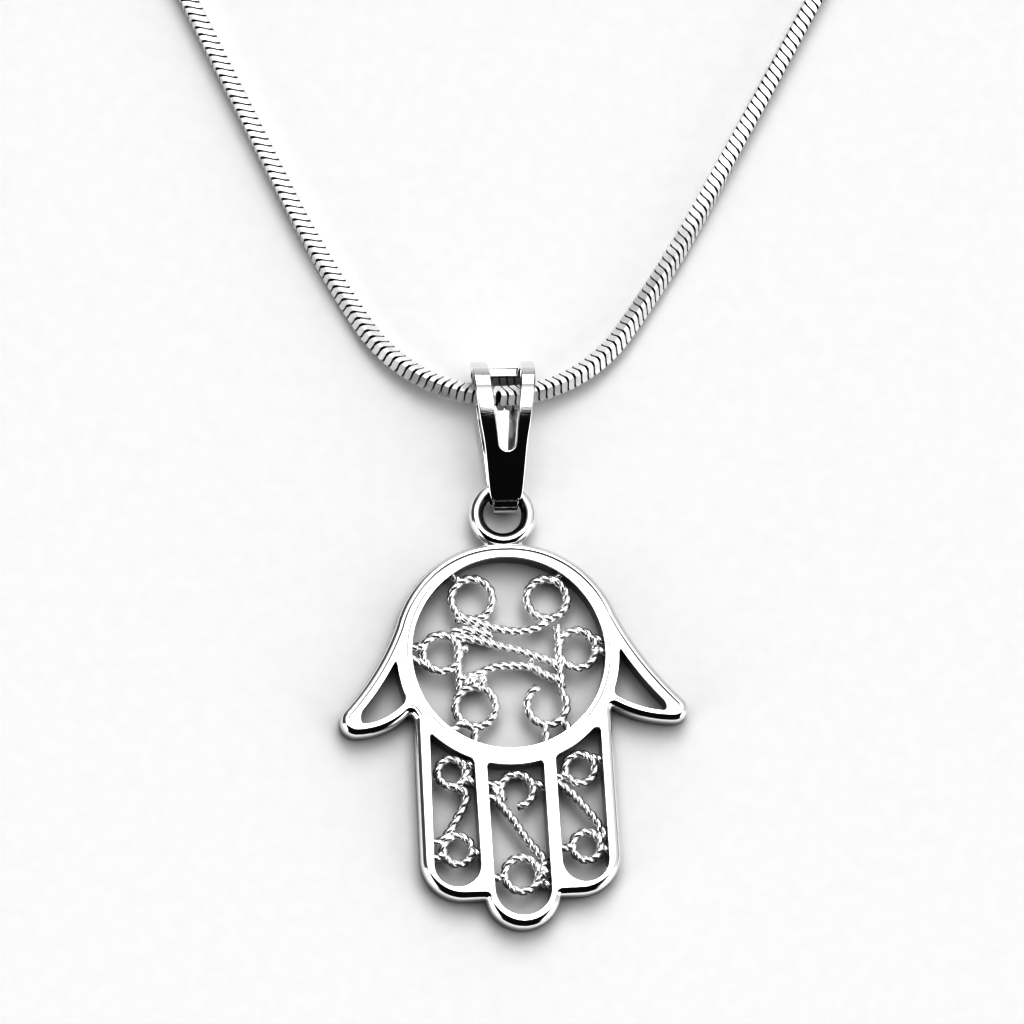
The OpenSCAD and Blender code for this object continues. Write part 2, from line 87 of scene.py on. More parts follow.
CHAIN_R = 0.7
HAND_FROM_CHAIN = Vector((1.067, -17.653, 0))

chain_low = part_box("chain")[0] / MM
bend_y = chain_low.y + CHAIN_R * math.cos(math.pi / 8)
palm_at = Vector((0, bend_y, 0)) + HAND_FROM_CHAIN


def add(tree, kind, inputs=(), **settings):
    """Adds a node. The value of an input is a number, a colour, or the socket that feeds it."""
    made = tree.nodes.new(kind)
    for name, value in settings.items():
        setattr(made, name, value)
    for name, value in dict(inputs).items():
        socket = made.inputs[name]
        if isinstance(value, bpy.types.NodeSocket):
            tree.links.new(value, socket)
        else:
            socket.default_value = value
    return made


def calc(tree, operation, *values):
    return add(tree, "ShaderNodeMath", dict(enumerate(values)), operation=operation).outputs[0]


def fade(tree, value, span, low, high):
    """Turns a value smoothly from low to high as it goes through a span."""
    made = add(tree, "ShaderNodeMapRange", {"Value": value, "From Min": span[0], "From Max": span[1],
                                            "To Min": low, "To Max": high}, interpolation_type="SMOOTHSTEP")
    return made.outputs["Result"]


def mottle(tree, place, scale, detail=2.0):
    made = add(tree, "ShaderNodeTexNoise", {"Vector": place, "Scale": scale, "Detail": detail})
    return made.outputs["Fac"]


def gray(tree, tone):
    return add(tree, "ShaderNodeCombineColor", {"Red": tone, "Green": tone, "Blue": tone}).outputs["Color"]


def floor_material():
    made = bpy.data.materials.new("white_surface")
    made.use_nodes = True
    tree = made.node_tree
    shader = tree.nodes["Principled BSDF"]
    place = add(tree, "ShaderNodeTexCoord").outputs["Object"]
    grain = mottle(tree, place, FLOOR_GRAIN_SCALE)
    tone = fade(tree, grain, FLOOR_GRAIN_SPAN, FLOOR_GRAY - FLOOR_GRAIN, FLOOR_GRAY + FLOOR_GRAIN)
    tree.links.new(gray(tree, tone), shader.inputs["Base Color"])
    shader.inputs["Roughness"].default_value = 0.9
    shader.inputs["Specular IOR Level"].default_value = 0.1
    return made


def studio_light():
    world = bpy.data.worlds.new("studio")
    bpy.context.scene.world = world
    world.use_nodes = True
    tree = world.node_tree
    tree.nodes.clear()
    way = add(tree, "ShaderNodeTexCoord").outputs["Generated"]
    x, y, z = add(tree, "ShaderNodeSeparateXYZ", {"Vector": way}).outputs
    aside = calc(tree, "ABSOLUTE", x)
    tent = fade(tree, x, TENT_SPAN, TENT_LEFT, TENT)
    over = fade(tree, aside, SOFTBOX_SIDE_SPAN, SOFTBOX, tent)
    behind = fade(tree, y, SOFTBOX_BACK_SPAN, over, tent)
    dark = fade(tree, aside, SIDE_SPAN, DARK_ROOM, SIDE_LIGHT)
    front = fade(tree, y, FRONT_SPAN, dark, behind)
    edge = fade(tree, y, HORIZON_FRONT_SPAN, front, DARK_HORIZON)
    low = fade(tree, aside, HORIZON_SIDE_SPAN, front, edge)
    seen = fade(tree, z, HORIZON_UP_SPAN, low, front)
    room = add(tree, "ShaderNodeBackground", {"Color": gray(tree, seen)})
    add(tree, "ShaderNodeOutputWorld", {"Surface": room.outputs["Background"]})


floor_mesh = bpy.data.meshes.new("surface")
floor_mesh.from_pydata([(x * FLOOR_HALF * MM, y * FLOOR_HALF * MM, 0)
                        for x, y in ((-1, -1), (1, -1), (1, 1), (-1, 1))], [], [(0, 1, 2, 3)])
floor = bpy.data.objects.new("surface", floor_mesh)
bpy.context.collection.objects.link(floor)
floor_mesh.materials.append(floor_material())

studio_light()
sun_data = bpy.data.lights.new("key", "SUN")
sun_data.energy = SUN_STRENGTH
sun_data.angle = math.radians(SUN_SIZE)
sun = bpy.data.objects.new("key", sun_data)
sun.rotation_mode = "QUATERNION"
sun.rotation_quaternion = SUN_FROM.to_track_quat("Z", "Y")
bpy.context.collection.objects.link(sun)

toward = Vector((-math.sin(LEAN_X), -math.sin(LEAN_Y), 0))
toward.z = math.sqrt(1 - toward.length_squared)
across = Vector((-math.sin(ROLL), math.cos(ROLL), 0)).cross(toward).normalized()
upward = toward.cross(across)
aim = palm_at + Vector((0, 0, HAND_T)) + AIM_ACROSS * across + AIM_UP * upward
eye = aim + toward * VIEW_W * LENS / SENSOR
camera_data = bpy.data.cameras.new("camera")
camera_data.lens = LENS
camera_data.sensor_width = SENSOR
camera_data.clip_end = FAR_CLIP
camera = bpy.data.objects.new("camera", camera_data)
turn = Matrix((across, upward, toward)).transposed()
camera.matrix_world = Matrix.Translation(eye * MM) @ turn.to_4x4()
bpy.context.collection.objects.link(camera)
bpy.context.scene.camera = camera
bpy.context.scene.view_settings.view_transform = "Standard"
bpy.context.scene.view_settings.exposure = EXPOSURE
bpy.context.scene.view_settings.gamma = GAMMA


# The hand's frame. One flat piece of cast silver, polished on its front, with a rounded outer edge and
# crisp openings. Its outline joins the palm, two thumbs and three fingers, and is cut and meshed here.
HAND_TURN = math.radians(3.1)
PALM_R = 7.58
PALM_X = (-0.16, 0.29)
PALM_HOLE_R = 6.46
PALM_HOLE_AT = (0.06, 0.08)
FLANK_R = (18, 22)
FLANK_LEAVE = (20.4, 24.7)
FLANK_END = (43.7, 45.3)
FLANK_DIP = 0.03
FLANK_W = (0.95, 1.05)
THUMB_TIP_R = (1.08, 0.9)
UNDER_R = (5.16, 8)
UNDER_W = (0.78, 0.72)
UNDER_END = (222, 235)
OPEN_END = (10.02, 10.45)
OPEN_START = 7.5
OPEN_TOP = 0.5
FINGERS_HALF = 6.7
MIDDLE_REACH = 18.6
OUTER_REACH = 16.5
MIDDLE_TIP_R = 2.55
OUTER_TIP_R = 2.8
MIDDLE_CELL_HALF = 1.88
BAR_W = 0.87
FINGER_WALL = 0.85
LEFT_TAPER = 0.28
CELL_TOP = 5.3
FINGER_LEAN = math.radians(1.2)
SHOULDER_PALM = 0.42
SHOULDER_FINGERS = 0.54
SHOULDER_DROP = 0.5
SHOULDER_PAINTED_SHADE = 0.6
FINGERS_FROM = 2
FINGERS_OVER = 4
BACK_EDGE_R = 0.2
HOLE_EDGE_R = 0.06
EDGE_STEPS = 8
LINE_W = 0.14
LINE_DEPTH = 0.04
LINE_PAINTED_SHADE = 0.38
SHOULDER_CREASE = 0.03
GROOVE_R = 6.83
GROOVE_W = 0.07
GROOVE_DEPTH = 0.05
GROOVE_PAINTED_SHADE = 0.5
CORNER = math.radians(25)
NOTCH_REACH = 0.12
CELL_REACH = 0.28
THUMB_REACH = 0.45
REACH_SHARE = 0.45
MITRE_LIMIT = -0.7
CORNER_STEPS = 6
PALM_STEPS = 288
ROUND_STEPS = 240
TIP_STEPS = 144
CELL_STEPS = 48
FLANK_STEPS = 40
UNDER_STEPS = 40
THUMB_TIP_STEPS = 32
THUMB_HOLE_STEPS = 160
FLANK_LINE = (190, 240, 120)
CLOSE = 0.03
SHARP = 40
BLOTCH_SCALE = 700.0
BLOTCH_SPAN = (0.35, 0.7)
BLOTCH_ROUGH = (0.7, 1.5)
SCRATCH_SCALE = 1600.0
SCRATCH_TURN = 0.6
SCRATCH_STRETCH = 14.0
SCRATCH_DEPTH = 0.00002
WAVE_SCALE = 330.0
WAVE_DEPTH = 0.0001
PAINTED_SHADE_EDGE = 0.0004

OUTER_CELL_IN = MIDDLE_CELL_HALF + BAR_W
OUTER_CELL_OUT = FINGERS_HALF - FINGER_WALL
OUTER_CELL_HALF = (OUTER_CELL_OUT - OUTER_CELL_IN) / 2
OUTER_CELL_X = (OUTER_CELL_OUT + OUTER_CELL_IN) / 2
OUTER_CELL_END = OUTER_REACH - FINGER_WALL
MIDDLE_CELL_END = MIDDLE_REACH - FINGER_WALL


def polar(radius, degrees):
    return Vector((radius * math.cos(math.radians(degrees)), radius * math.sin(math.radians(degrees))))


def arc(centre, radius, start, end, steps):
    return [Vector(centre) + polar(radius, start + (end - start) * i / steps) for i in range(steps + 1)]


def circle(centre, radius, steps):
    return arc(centre, radius, 0, 360, steps)[:-1]


def leaned(points):
    return [Matrix.Rotation(FINGER_LEAN, 2) @ Vector(p) for p in points]


def mirrored(points):
    return [Vector((-p[0], p[1])) for p in points]


def box(x0, y0, x1, y1):
    return [Vector((x0, y0)), Vector((x1, y0)), Vector((x1, y1)), Vector((x0, y1))]


def cell(x, half, top, end, taper=0.0):
    """A finger's opening: straight sides and a round lower end."""
    return leaned([Vector((x + half, -top)), Vector((x - half + taper, -top))]
                  + arc((x, half - end), half, 180, 360, CELL_STEPS))


def thumb_outlines(side):
    """A thumb's metal and the outlines that bound its opening. The left thumb, 0, is to be mirrored."""
    flank_c = Vector((abs(PALM_X[side]), 0)) + polar(PALM_R - FLANK_DIP + FLANK_R[side], FLANK_LEAVE[side])
    tip_c = flank_c - polar(FLANK_R[side] + THUMB_TIP_R[side], FLANK_END[side])
    under_c = tip_c + Vector((0, UNDER_R[side] - THUMB_TIP_R[side]))
    metal = ([Vector((0, 0))]
             + arc(flank_c, FLANK_R[side], 180 + FLANK_LEAVE[side], 180 + FLANK_END[side], FLANK_STEPS)
             + arc(tip_c, THUMB_TIP_R[side], FLANK_END[side], -90, THUMB_TIP_STEPS)
             + arc(under_c, UNDER_R[side], 270, UNDER_END[side], UNDER_STEPS))
    return {"thumb": metal, "hole": circle(under_c, UNDER_R[side] - UNDER_W[side], THUMB_HOLE_STEPS),
            "flank": [flank_c] + arc(flank_c, FLANK_R[side] + FLANK_W[side], *FLANK_LINE),
            "past": box(OPEN_END[side], -OUTER_REACH, 2 * OUTER_REACH, OUTER_REACH),
            "above": box(0, OPEN_TOP, 2 * OUTER_REACH, OUTER_REACH)}


def hand_outlines():
    """The named outlines of the hand before they are joined and cut."""
    outer_c = Vector((FINGERS_HALF - OUTER_TIP_R, OUTER_TIP_R - OUTER_REACH))
    sides = [Vector((x, y)) for x, y in ((-FINGERS_HALF, outer_c.y), (FINGERS_HALF, outer_c.y),
                                         (FINGERS_HALF, 0), (LEFT_TAPER - FINGERS_HALF, 0))]
    outlines = {
        "left palm": circle((PALM_X[0], 0), PALM_R, PALM_STEPS),
        "right palm": circle((PALM_X[1], 0), PALM_R, PALM_STEPS),
        "sides": leaned(sides), "ends": leaned(box(-outer_c.x, -OUTER_REACH, outer_c.x, 0)),
        "tip": leaned(circle(outer_c, OUTER_TIP_R, TIP_STEPS)),
        "left tip": leaned(circle((-outer_c.x, outer_c.y), OUTER_TIP_R, TIP_STEPS)),
        "middle tip": leaned(circle((0, MIDDLE_TIP_R - MIDDLE_REACH), MIDDLE_TIP_R, TIP_STEPS)),
        "palm hole": circle(PALM_HOLE_AT, PALM_HOLE_R, ROUND_STEPS),
        "thumb start": circle((0, 0), OPEN_START, ROUND_STEPS),
        "cell start": circle((0, 0), PALM_R, ROUND_STEPS),
        "cell": cell(OUTER_CELL_X, OUTER_CELL_HALF, CELL_TOP, OUTER_CELL_END),
        "left cell": cell(-OUTER_CELL_X, OUTER_CELL_HALF, CELL_TOP, OUTER_CELL_END, LEFT_TAPER),
        "middle cell": cell(0, MIDDLE_CELL_HALF, CELL_TOP, MIDDLE_CELL_END)}
    for name, outline in thumb_outlines(0).items():
        outlines["left " + name] = mirrored(outline)
    for name, outline in thumb_outlines(1).items():
        outlines["right " + name] = outline
    return outlines


def is_hand(names):
    metal = any(name.endswith(("palm", "tip", "thumb", "sides", "ends")) for name in names)
    thumb_hole = any(side + "hole" in names and "thumb start" not in names
                     and not names & {side + "flank", side + "past", side + "above"}
                     for side in ("left ", "right "))
    cell_hole = "cell start" not in names and names & {"cell", "left cell", "middle cell"}
    return metal and "palm hole" not in names and not thumb_hole and not cell_hole


def area(loop):
    return sum(a.x * b.y - b.x * a.y for a, b in zip(loop, loop[1:] + loop[:1])) / 2


def cut_flat(outlines, wanted):
    """Meshes flat outlines together. Returns the points, the triangles for which wanted(names) is true,
    and for each point the outline points that it came from."""
    points, faces = [], []
    for outline in outlines.values():
        face = list(range(len(points), len(points) + len(outline)))
        faces.append(face if area(outline) > 0 else face[::-1])
        points += outline
    verts, _, tris, origin, _, inside = geometry.delaunay_2d_cdt(
        [Vector(p[:2]) for p in points], [], faces, 1, 1e-6, True)
    names = list(outlines)
    kept = [tri for tri, ids in zip(tris, inside) if wanted({names[i] for i in ids})]
    return verts, kept, origin


def loops_round(verts, tris):
    """The closed loops along the free edges of flat triangles, with the metal on their left."""
    free = {(a, b) for tri in tris for a, b in zip(tri, tri[1:] + tri[:1])}
    follow = {a: b for a, b in free if (b, a) not in free}
    loops = []
    while follow:
        start, at = next(iter(follow.items()))
        loop = [Vector(verts[start])]
        del follow[start]
        while at != start:
            if (Vector(verts[at]) - loop[-1]).length > CLOSE:
                loop.append(Vector(verts[at]))
            at = follow.pop(at)
        loops.append(loop)
    return loops


def softened(loop, reach):
    """Rounds the corners of a loop, each over the given reach to both sides."""
    ends = loop[1:] + loop[:1]
    places = [0.0]
    for a, b in zip(loop, ends):
        places.append(places[-1] + (b - a).length)
    length = places.pop()

    def at(place):
        i = bisect.bisect_right(places, place % length) - 1
        return loop[i] + (ends[i] - loop[i]).normalized() * (place % length - places[i])

    def apart(a, b):
        return min(abs(a - b), length - abs(a - b))

    corners = [places[i] for i in range(len(loop))
               if (loop[i] - loop[i - 1]).angle(ends[i] - loop[i]) > CORNER]
    reaches = [min([reach] + [REACH_SHARE * apart(c, d) for d in corners if d != c]) for c in corners]
    made = [(place, point) for place, point in zip(places, loop)
            if all(apart(place, c) > r for c, r in zip(corners, reaches))]
    for c, r in zip(corners, reaches):
        for t in (i / CORNER_STEPS for i in range(CORNER_STEPS + 1)):
            bent = at(c - r) * (1 - t) ** 2 + at(c) * 2 * t * (1 - t) + at(c + r) * t ** 2
            made.append(((c - r + 2 * r * t) % length, bent))
    return [point for _, point in sorted(made, key=lambda item: item[0])]


def inset(loop, amounts):
    """Moves a loop into the metal on its left, with mitred corners."""
    moved = []
    for i, (point, amount) in enumerate(zip(loop, amounts)):
        before = (point - loop[i - 1]).normalized()
        after = (loop[(i + 1) % len(loop)] - point).normalized()
        left = Vector((-before.y - after.y, before.x + after.x)) / (1 + max(before.dot(after), MITRE_LIMIT))
        moved.append(point + left * amount)
    return moved


def eased(t):
    s = max(0, min(1, t))
    return s * s * (3 - 2 * s)


def edge_rows(outer):
    """The rows down a rounded edge, from the front face to the back face. Each is a share of the
    shoulder's width, a share of the fine line's width, more inset, height, the line's depth and painted
    shade."""
    steps = [math.pi / 2 * i / EDGE_STEPS for i in range(EDGE_STEPS + 1)]
    if outer:
        rows = [(1, 1, 0, HAND_T, 0, 0), (1, 0.5, 0, HAND_T, 1, LINE_PAINTED_SHADE), (1, 0, 0, HAND_T, 0, 0)]
        rows += [(1 - math.sin(a), 0, 0, HAND_T - SHOULDER_DROP * (1 - math.cos(a)), 0,
                  SHOULDER_PAINTED_SHADE * math.sin(a) ** 6) for a in steps[1:]]
        return rows + [(0, 0, BACK_EDGE_R * (1 - math.cos(a)), BACK_EDGE_R * (1 - math.sin(a)), 0, 1)
                       for a in steps]
    rows = [(0, 0, HOLE_EDGE_R * (1 - math.sin(a)), HAND_T - HOLE_EDGE_R * (1 - math.cos(a)), 0,
             i // EDGE_STEPS) for i, a in enumerate(steps)]
    return rows + [(0, 0, HOLE_EDGE_R * (1 - math.cos(a)), HOLE_EDGE_R * (1 - math.sin(a)), 0, 1)
                   for a in steps]


def link_piece(name, verts, faces, edges=()):
    mesh = bpy.data.meshes.new(name)
    mesh.from_pydata([tuple(v) for v in verts], edges, faces)
    mesh.validate()
    made = bpy.data.objects.new(name, mesh)
    bpy.context.collection.objects.link(made)
    return made


def lay_on_palm(point, height):
    """From the hand's own frame to the shared frame, in metres."""
    flat = Matrix.Rotation(HAND_TURN, 2) @ Vector(point[:2])
    return (palm_at + Vector((flat.x, flat.y, height))) * MM


def band(first, second, count, flip=False):
    """The faces between two closed rows of points, given by where each row starts."""
    quads = [(first + i, second + i, second + (i + 1) % count, first + (i + 1) % count)
             for i in range(count)]
    return [quad[:1] + quad[:0:-1] for quad in quads] if flip else quads


def rounded_edge(loop, outer, points, faces, painted_shade_and_joints):
    """Adds a loop's rounded edge. Returns its first and its last row, on the front face and the back
    face, each as the place where it starts among the points and its outline."""
    down = [eased((-p.y - FINGERS_FROM) / FINGERS_OVER) for p in loop]
    shoulder = [SHOULDER_PALM + (SHOULDER_FINGERS - SHOULDER_PALM) * share for share in down]
    line_w = [LINE_W + (SHOULDER_CREASE - LINE_W) * share for share in down]
    rows = []
    for share, wide, more, height, line, painted_shade_share in edge_rows(outer):
        ring = inset(loop, [share * a + wide * b + more for a, b in zip(shoulder, line_w)])
        rows.append((len(points), ring))
        points += [lay_on_palm(p, height - line * LINE_DEPTH * (1 - low)) for p, low in zip(ring, down)]
        painted_shade_and_joints += [painted_shade_share * (1 - low) if outer and height > BACK_EDGE_R else painted_shade_share for low in down]
    for (upper, _), (lower, _) in zip(rows, rows[1:]):
        faces += band(upper, lower, len(loop))
    return rows[0], rows[-1]


def write_values(piece, name, values):
    """Gives each point of a piece a value, such as its share of painted shade."""
    piece.data.attributes.new(name, "FLOAT", "POINT").data.foreach_set("value", values)


def hand_frame():
    verts, tris, _ = cut_flat(hand_outlines(), is_hand)
    loops = sorted(loops_round(verts, tris), key=lambda loop: -abs(area(loop)))
    points, faces, painted_shade_and_joints, rims = [], [], [], []
    for loop in loops:
        outer = loop is loops[0]
        beside = max(abs(p.x) for p in loop) > PALM_R
        loop = softened(loop, NOTCH_REACH if outer else THUMB_REACH if beside else CELL_REACH)
        rims.append(rounded_edge(loop, outer, points, faces, painted_shade_and_joints))
    groove = []
    for inside, depth in ((0, 0), (GROOVE_W / 2, GROOVE_DEPTH), (GROOVE_W, 0)):
        groove.append((len(points), circle(PALM_HOLE_AT, GROOVE_R - inside, ROUND_STEPS)))
        points += [lay_on_palm(p, HAND_T - depth) for p in groove[-1][1]]
        painted_shade_and_joints += [GROOVE_PAINTED_SHADE if depth else 0.0] * ROUND_STEPS
    for (outer_row, _), (inner_row, _) in zip(groove, groove[1:]):
        faces += band(outer_row, inner_row, ROUND_STEPS, flip=True)
    bands = len(faces)

    def flat(names):
        in_groove = "groove_out" in names and "groove_in" not in names
        return "0" in names and not in_groove and not names & {str(n) for n in range(1, len(rims))}

    for side in (0, 1):
        rows = {str(number): rim[side] for number, rim in enumerate(rims)}
        if side == 0:
            rows.update({"groove_out": groove[0], "groove_in": groove[2]})
        sources = [start + i for start, outline in rows.values() for i in range(len(outline))]
        _, kept, origin = cut_flat({name: outline for name, (_, outline) in rows.items()}, flat)
        for tri in kept:
            face = tuple(sources[origin[i][0]] for i in tri)
            faces.append(face if side == 0 else face[::-1])
    made = link_piece("hand_frame", points, faces)
    # Painted shade and painted dark reflections: the openings' walls, the outer edge's steep and low parts,
    # the fine line and the groove are darkened in the frame's colour.
    write_values(made, "painted_shade_and_joints", [float(v) for v in painted_shade_and_joints])
    shade(made, bands)
    return made


def shade(piece, first_flat):
    """Smooth along the rounded edges, flat on the faces from the given one on, sharp between them."""
    mesh = piece.data
    smooth = [number < first_flat for number in range(len(mesh.polygons))]
    mesh.polygons.foreach_set("use_smooth", smooth)
    mesh.set_sharp_from_angle(angle=math.radians(SHARP))
    kinds = {}
    for number, face in enumerate(mesh.polygons):
        for key in face.edge_keys:
            kinds.setdefault(key, set()).add(number < first_flat)
    for edge in mesh.edges:
        if len(kinds[edge.key]) == 2:
            edge.use_edge_sharp = True


def new_sockets(tree, in_out, kind, *names):
    for name in names:
        tree.interface.new_socket(name, in_out=in_out, socket_type="NodeSocket" + kind)


def silver_wear():
    """Uneven polish and fine scratches, as years of wear leave them on polished silver, and painted shade:
    darker below a given height, and darker where a piece's own point values say so (on the chain's plates
    these mark dark joints).
    """
    group = bpy.data.node_groups.new("silver_wear", "ShaderNodeTree")
    new_sockets(group, "INPUT", "Vector", "Vector")
    new_sockets(group, "INPUT", "Color", "Unshaded Color", "Shade And Joint Color")
    new_sockets(group, "INPUT", "Float", "Painted Shade Height", "Painted Shade Fade", "Polish", "Scratches", "Waves", "Painted Shade And Joints")
    new_sockets(group, "OUTPUT", "Color", "Color")
    new_sockets(group, "OUTPUT", "Float", "Roughness")
    new_sockets(group, "OUTPUT", "Vector", "Normal")
    given = add(group, "NodeGroupInput").outputs
    place = given["Vector"]
    height = add(group, "ShaderNodeSeparateXYZ", {"Vector": place}).outputs["Z"]
    streak = add(group, "ShaderNodeMapping", {"Vector": place, "Rotation": (0, 0, SCRATCH_TURN),
                                              "Scale": (1.0, SCRATCH_STRETCH, 1.0)}).outputs["Vector"]
    blotches = mottle(group, place, BLOTCH_SCALE, 3.0)
    level = calc(group, "ADD", height, calc(group, "MULTIPLY", blotches, PAINTED_SHADE_EDGE))
    top = calc(group, "ADD", given["Painted Shade Height"], given["Painted Shade Fade"])
    unshaded = fade(group, level, (given["Painted Shade Height"], top), 0.0, 1.0)
    unshaded_share = calc(group, "MULTIPLY", unshaded, calc(group, "SUBTRACT", 1.0, given["Painted Shade And Joints"]))
    colour = add(group, "ShaderNodeMix", {0: unshaded_share, 6: given["Shade And Joint Color"], 7: given["Unshaded Color"]},
                 data_type="RGBA").outputs[2]
    rough = calc(group, "MULTIPLY", fade(group, blotches, BLOTCH_SPAN, *BLOTCH_ROUGH), given["Polish"])
    normal = None
    for strength, depth, pattern in (
            ("Scratches", SCRATCH_DEPTH, mottle(group, streak, SCRATCH_SCALE, 4.0)),
            ("Waves", WAVE_DEPTH, mottle(group, place, WAVE_SCALE))):
        bump = add(group, "ShaderNodeBump", {"Strength": given[strength], "Distance": depth,
                                             "Height": pattern})
        if normal:
            group.links.new(normal, bump.inputs["Normal"])
        normal = bump.outputs["Normal"]
    add(group, "NodeGroupOutput", {"Color": colour, "Roughness": rough, "Normal": normal})
    return group


WEAR_AND_SHADE = silver_wear()


def silver(name, unshaded, painted_shade_and_joints, painted_shade_height, painted_shade_fade, polish, scratches, waves, metal=1.0):
    """A silver finish. Below its given height it is darker, as painted shade, and where the piece's point
    values say so it is dark: painted shade on most pieces, dark joints on the chain's plates.
    """
    made = bpy.data.materials.new(name)
    made.use_nodes = True
    tree = made.node_tree
    shader = tree.nodes["Principled BSDF"]
    wear = add(tree, "ShaderNodeGroup", {
        "Vector": add(tree, "ShaderNodeTexCoord").outputs["Object"],
        "Painted Shade And Joints": add(tree, "ShaderNodeAttribute", attribute_name="painted_shade_and_joints").outputs["Fac"],
        "Unshaded Color": unshaded, "Shade And Joint Color": painted_shade_and_joints, "Painted Shade Height": painted_shade_height * MM,
        "Painted Shade Fade": painted_shade_fade * MM, "Polish": polish, "Scratches": scratches, "Waves": waves},
        node_tree=WEAR_AND_SHADE)
    for ours, theirs in (("Color", "Base Color"), ("Roughness", "Roughness"), ("Normal", "Normal")):
        tree.links.new(wear.outputs[ours], shader.inputs[theirs])
    shader.inputs["Metallic"].default_value = metal
    return made


def put_on(piece, material, node):
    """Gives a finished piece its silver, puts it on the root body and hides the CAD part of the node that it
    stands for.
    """
    if not piece.data.materials:
        piece.data.materials.append(material)
    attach(piece, "root")
    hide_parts(node)


BRIGHT = (0.95, 0.945, 0.94, 1)
SHADE_AND_JOINT_DARK = (0.03, 0.028, 0.027, 1)
# Painted shade: the frame darkens below about half a millimetre, as contact shade near the surface.
frame_silver = silver("polished_frame", BRIGHT, (0.09, 0.088, 0.086, 1), painted_shade_height=0.05, painted_shade_fade=0.5,
                      polish=0.07, scratches=0.1, waves=0.04)
put_on(hand_frame(), frame_silver, "hand")


# The ring on top of the palm and its solder. A round wire bent to a ring, soldered to the palm's rim
# at two feet. The ring is swept in one piece, and each foot is a lump that joins wire and rim.
RING_R = 1.76
RING_WIRE_R = 0.48
RING_SEAT = 0.25
RING_X = 0.11
RING_Z = 1.2
FOOT_X = 0.9
FOOT_R = 0.4
FOOT_STRETCH = 1.25
FOOT_UP = 0.1
RING_PAINTED_REFLECTION = 0.95
RING_PAINTED_REFLECTION_FROM = -0.16
RING_PAINTED_REFLECTION_OVER = 0.2
SOLDER_ROUGH = 0.2
SOLDER_GRAIN = 1.7
RING_WOBBLE = 0.02


def ring_soot(parts):
    """Painted reflection: darkens the inner side of a ring that is the first of the parts, standing in for
    the dark room it mirrors.
    """
    verts = parts[0][0]
    centre = sum(verts, Vector((0, 0, 0))) / len(verts)
    reach = [(v - centre).xy.length for v in verts]
    painted_shade_and_joints = [RING_PAINTED_REFLECTION * (1 - eased((r - RING_R - RING_PAINTED_REFLECTION_FROM) / RING_PAINTED_REFLECTION_OVER)) for r in reach]
    return painted_shade_and_joints + [0.0] * sum(len(part[0]) for part in parts[1:])


def torus(centre, axis_turn, radius, wire, steps=96, sides=32, wobble=0.0):
    """A round wire bent to a ring. Its middle line lies in the plane that axis_turn gives."""
    points, faces = [], []
    for i in range(steps):
        a = 2 * math.pi * i / steps
        thick = wire * (1 + wobble * math.sin(3 * a + 1))
        for b in (2 * math.pi * k / sides for k in range(sides)):
            out = radius + thick * math.cos(b)
            flat = Vector((out * math.cos(a), out * math.sin(a), thick * math.sin(b)))
            points.append(Vector(centre) + axis_turn @ flat)
        faces += band(i * sides, (i + 1) % steps * sides, sides)
    return points, faces


def ball(centre, radii, rough=0.0, rings=14, sides=20):
    """A lump of solder: a slightly uneven ball."""
    points = [Vector((0, 0, 1))]
    for i in range(1, rings):
        a = math.pi * i / rings
        points += [Vector((math.sin(a) * math.cos(2 * math.pi * k / sides),
                           math.sin(a) * math.sin(2 * math.pi * k / sides), math.cos(a)))
                   for k in range(sides)]
    points.append(Vector((0, 0, -1)))
    last = len(points) - 1
    faces = [(0, 1 + k, 1 + (k + 1) % sides) for k in range(sides)]
    for row in range(1, last - sides, sides):
        faces += band(row, row + sides, sides)
    row = last - sides
    faces += [(row + k, last, row + (k + 1) % sides) for k in range(sides)]
    seed = Vector(centre)
    uneven = [p * (1 + rough * noise.noise(p * SOLDER_GRAIN + seed)) for p in points]
    return [seed + Vector(a * b for a, b in zip(p, radii)) for p in uneven], faces


def smoothed(piece, sharp=180):
    """Shades a piece smoothly, apart from edges sharper than the given angle."""
    piece.data.polygons.foreach_set("use_smooth", [True] * len(piece.data.polygons))
    if sharp < 180:
        piece.data.set_sharp_from_angle(angle=math.radians(sharp))


def joined(name, parts):
    """One piece from several closed shapes."""
    points, faces = [], []
    for verts, polygons in parts:
        faces += [tuple(i + len(points) for i in face) for face in polygons]
        points += verts
    made = link_piece(name, points, faces)
    smoothed(made)
    return made


def on_palm(parts):
    return [([lay_on_palm(p, p[2]) for p in verts], faces) for verts, faces in parts]


ring_y = PALM_R + RING_R + RING_WIRE_R - RING_SEAT
flat_ring = Matrix.Identity(3)
ring_parts = [torus((RING_X, ring_y, RING_Z), flat_ring, RING_R, RING_WIRE_R, wobble=RING_WOBBLE)]
for side in (-1, 1):
    foot_x = RING_X + side * FOOT_X
    foot_y = math.sqrt((PALM_R + FOOT_R / 2) ** 2 - foot_x ** 2)
    ring_parts.append(ball((foot_x, foot_y, HAND_T / 2 + FOOT_UP), (FOOT_R, FOOT_R * FOOT_STRETCH, FOOT_R),
                           SOLDER_ROUGH))
# Painted shade: darker below about 0.6 mm, which only the feet's lowest points reach.
ring_silver = silver("ring_wire", BRIGHT, SHADE_AND_JOINT_DARK, painted_shade_height=0.2, painted_shade_fade=0.4, polish=0.06,
                     scratches=0.15, waves=0.12)
top_ring = joined("top_ring", on_palm(ring_parts))
# Painted reflection: the ring's inner side is darkened, standing in for the dark room it mirrors.
write_values(top_ring, "painted_shade_and_joints", ring_soot(ring_parts))
put_on(top_ring, ring_silver, "hand")


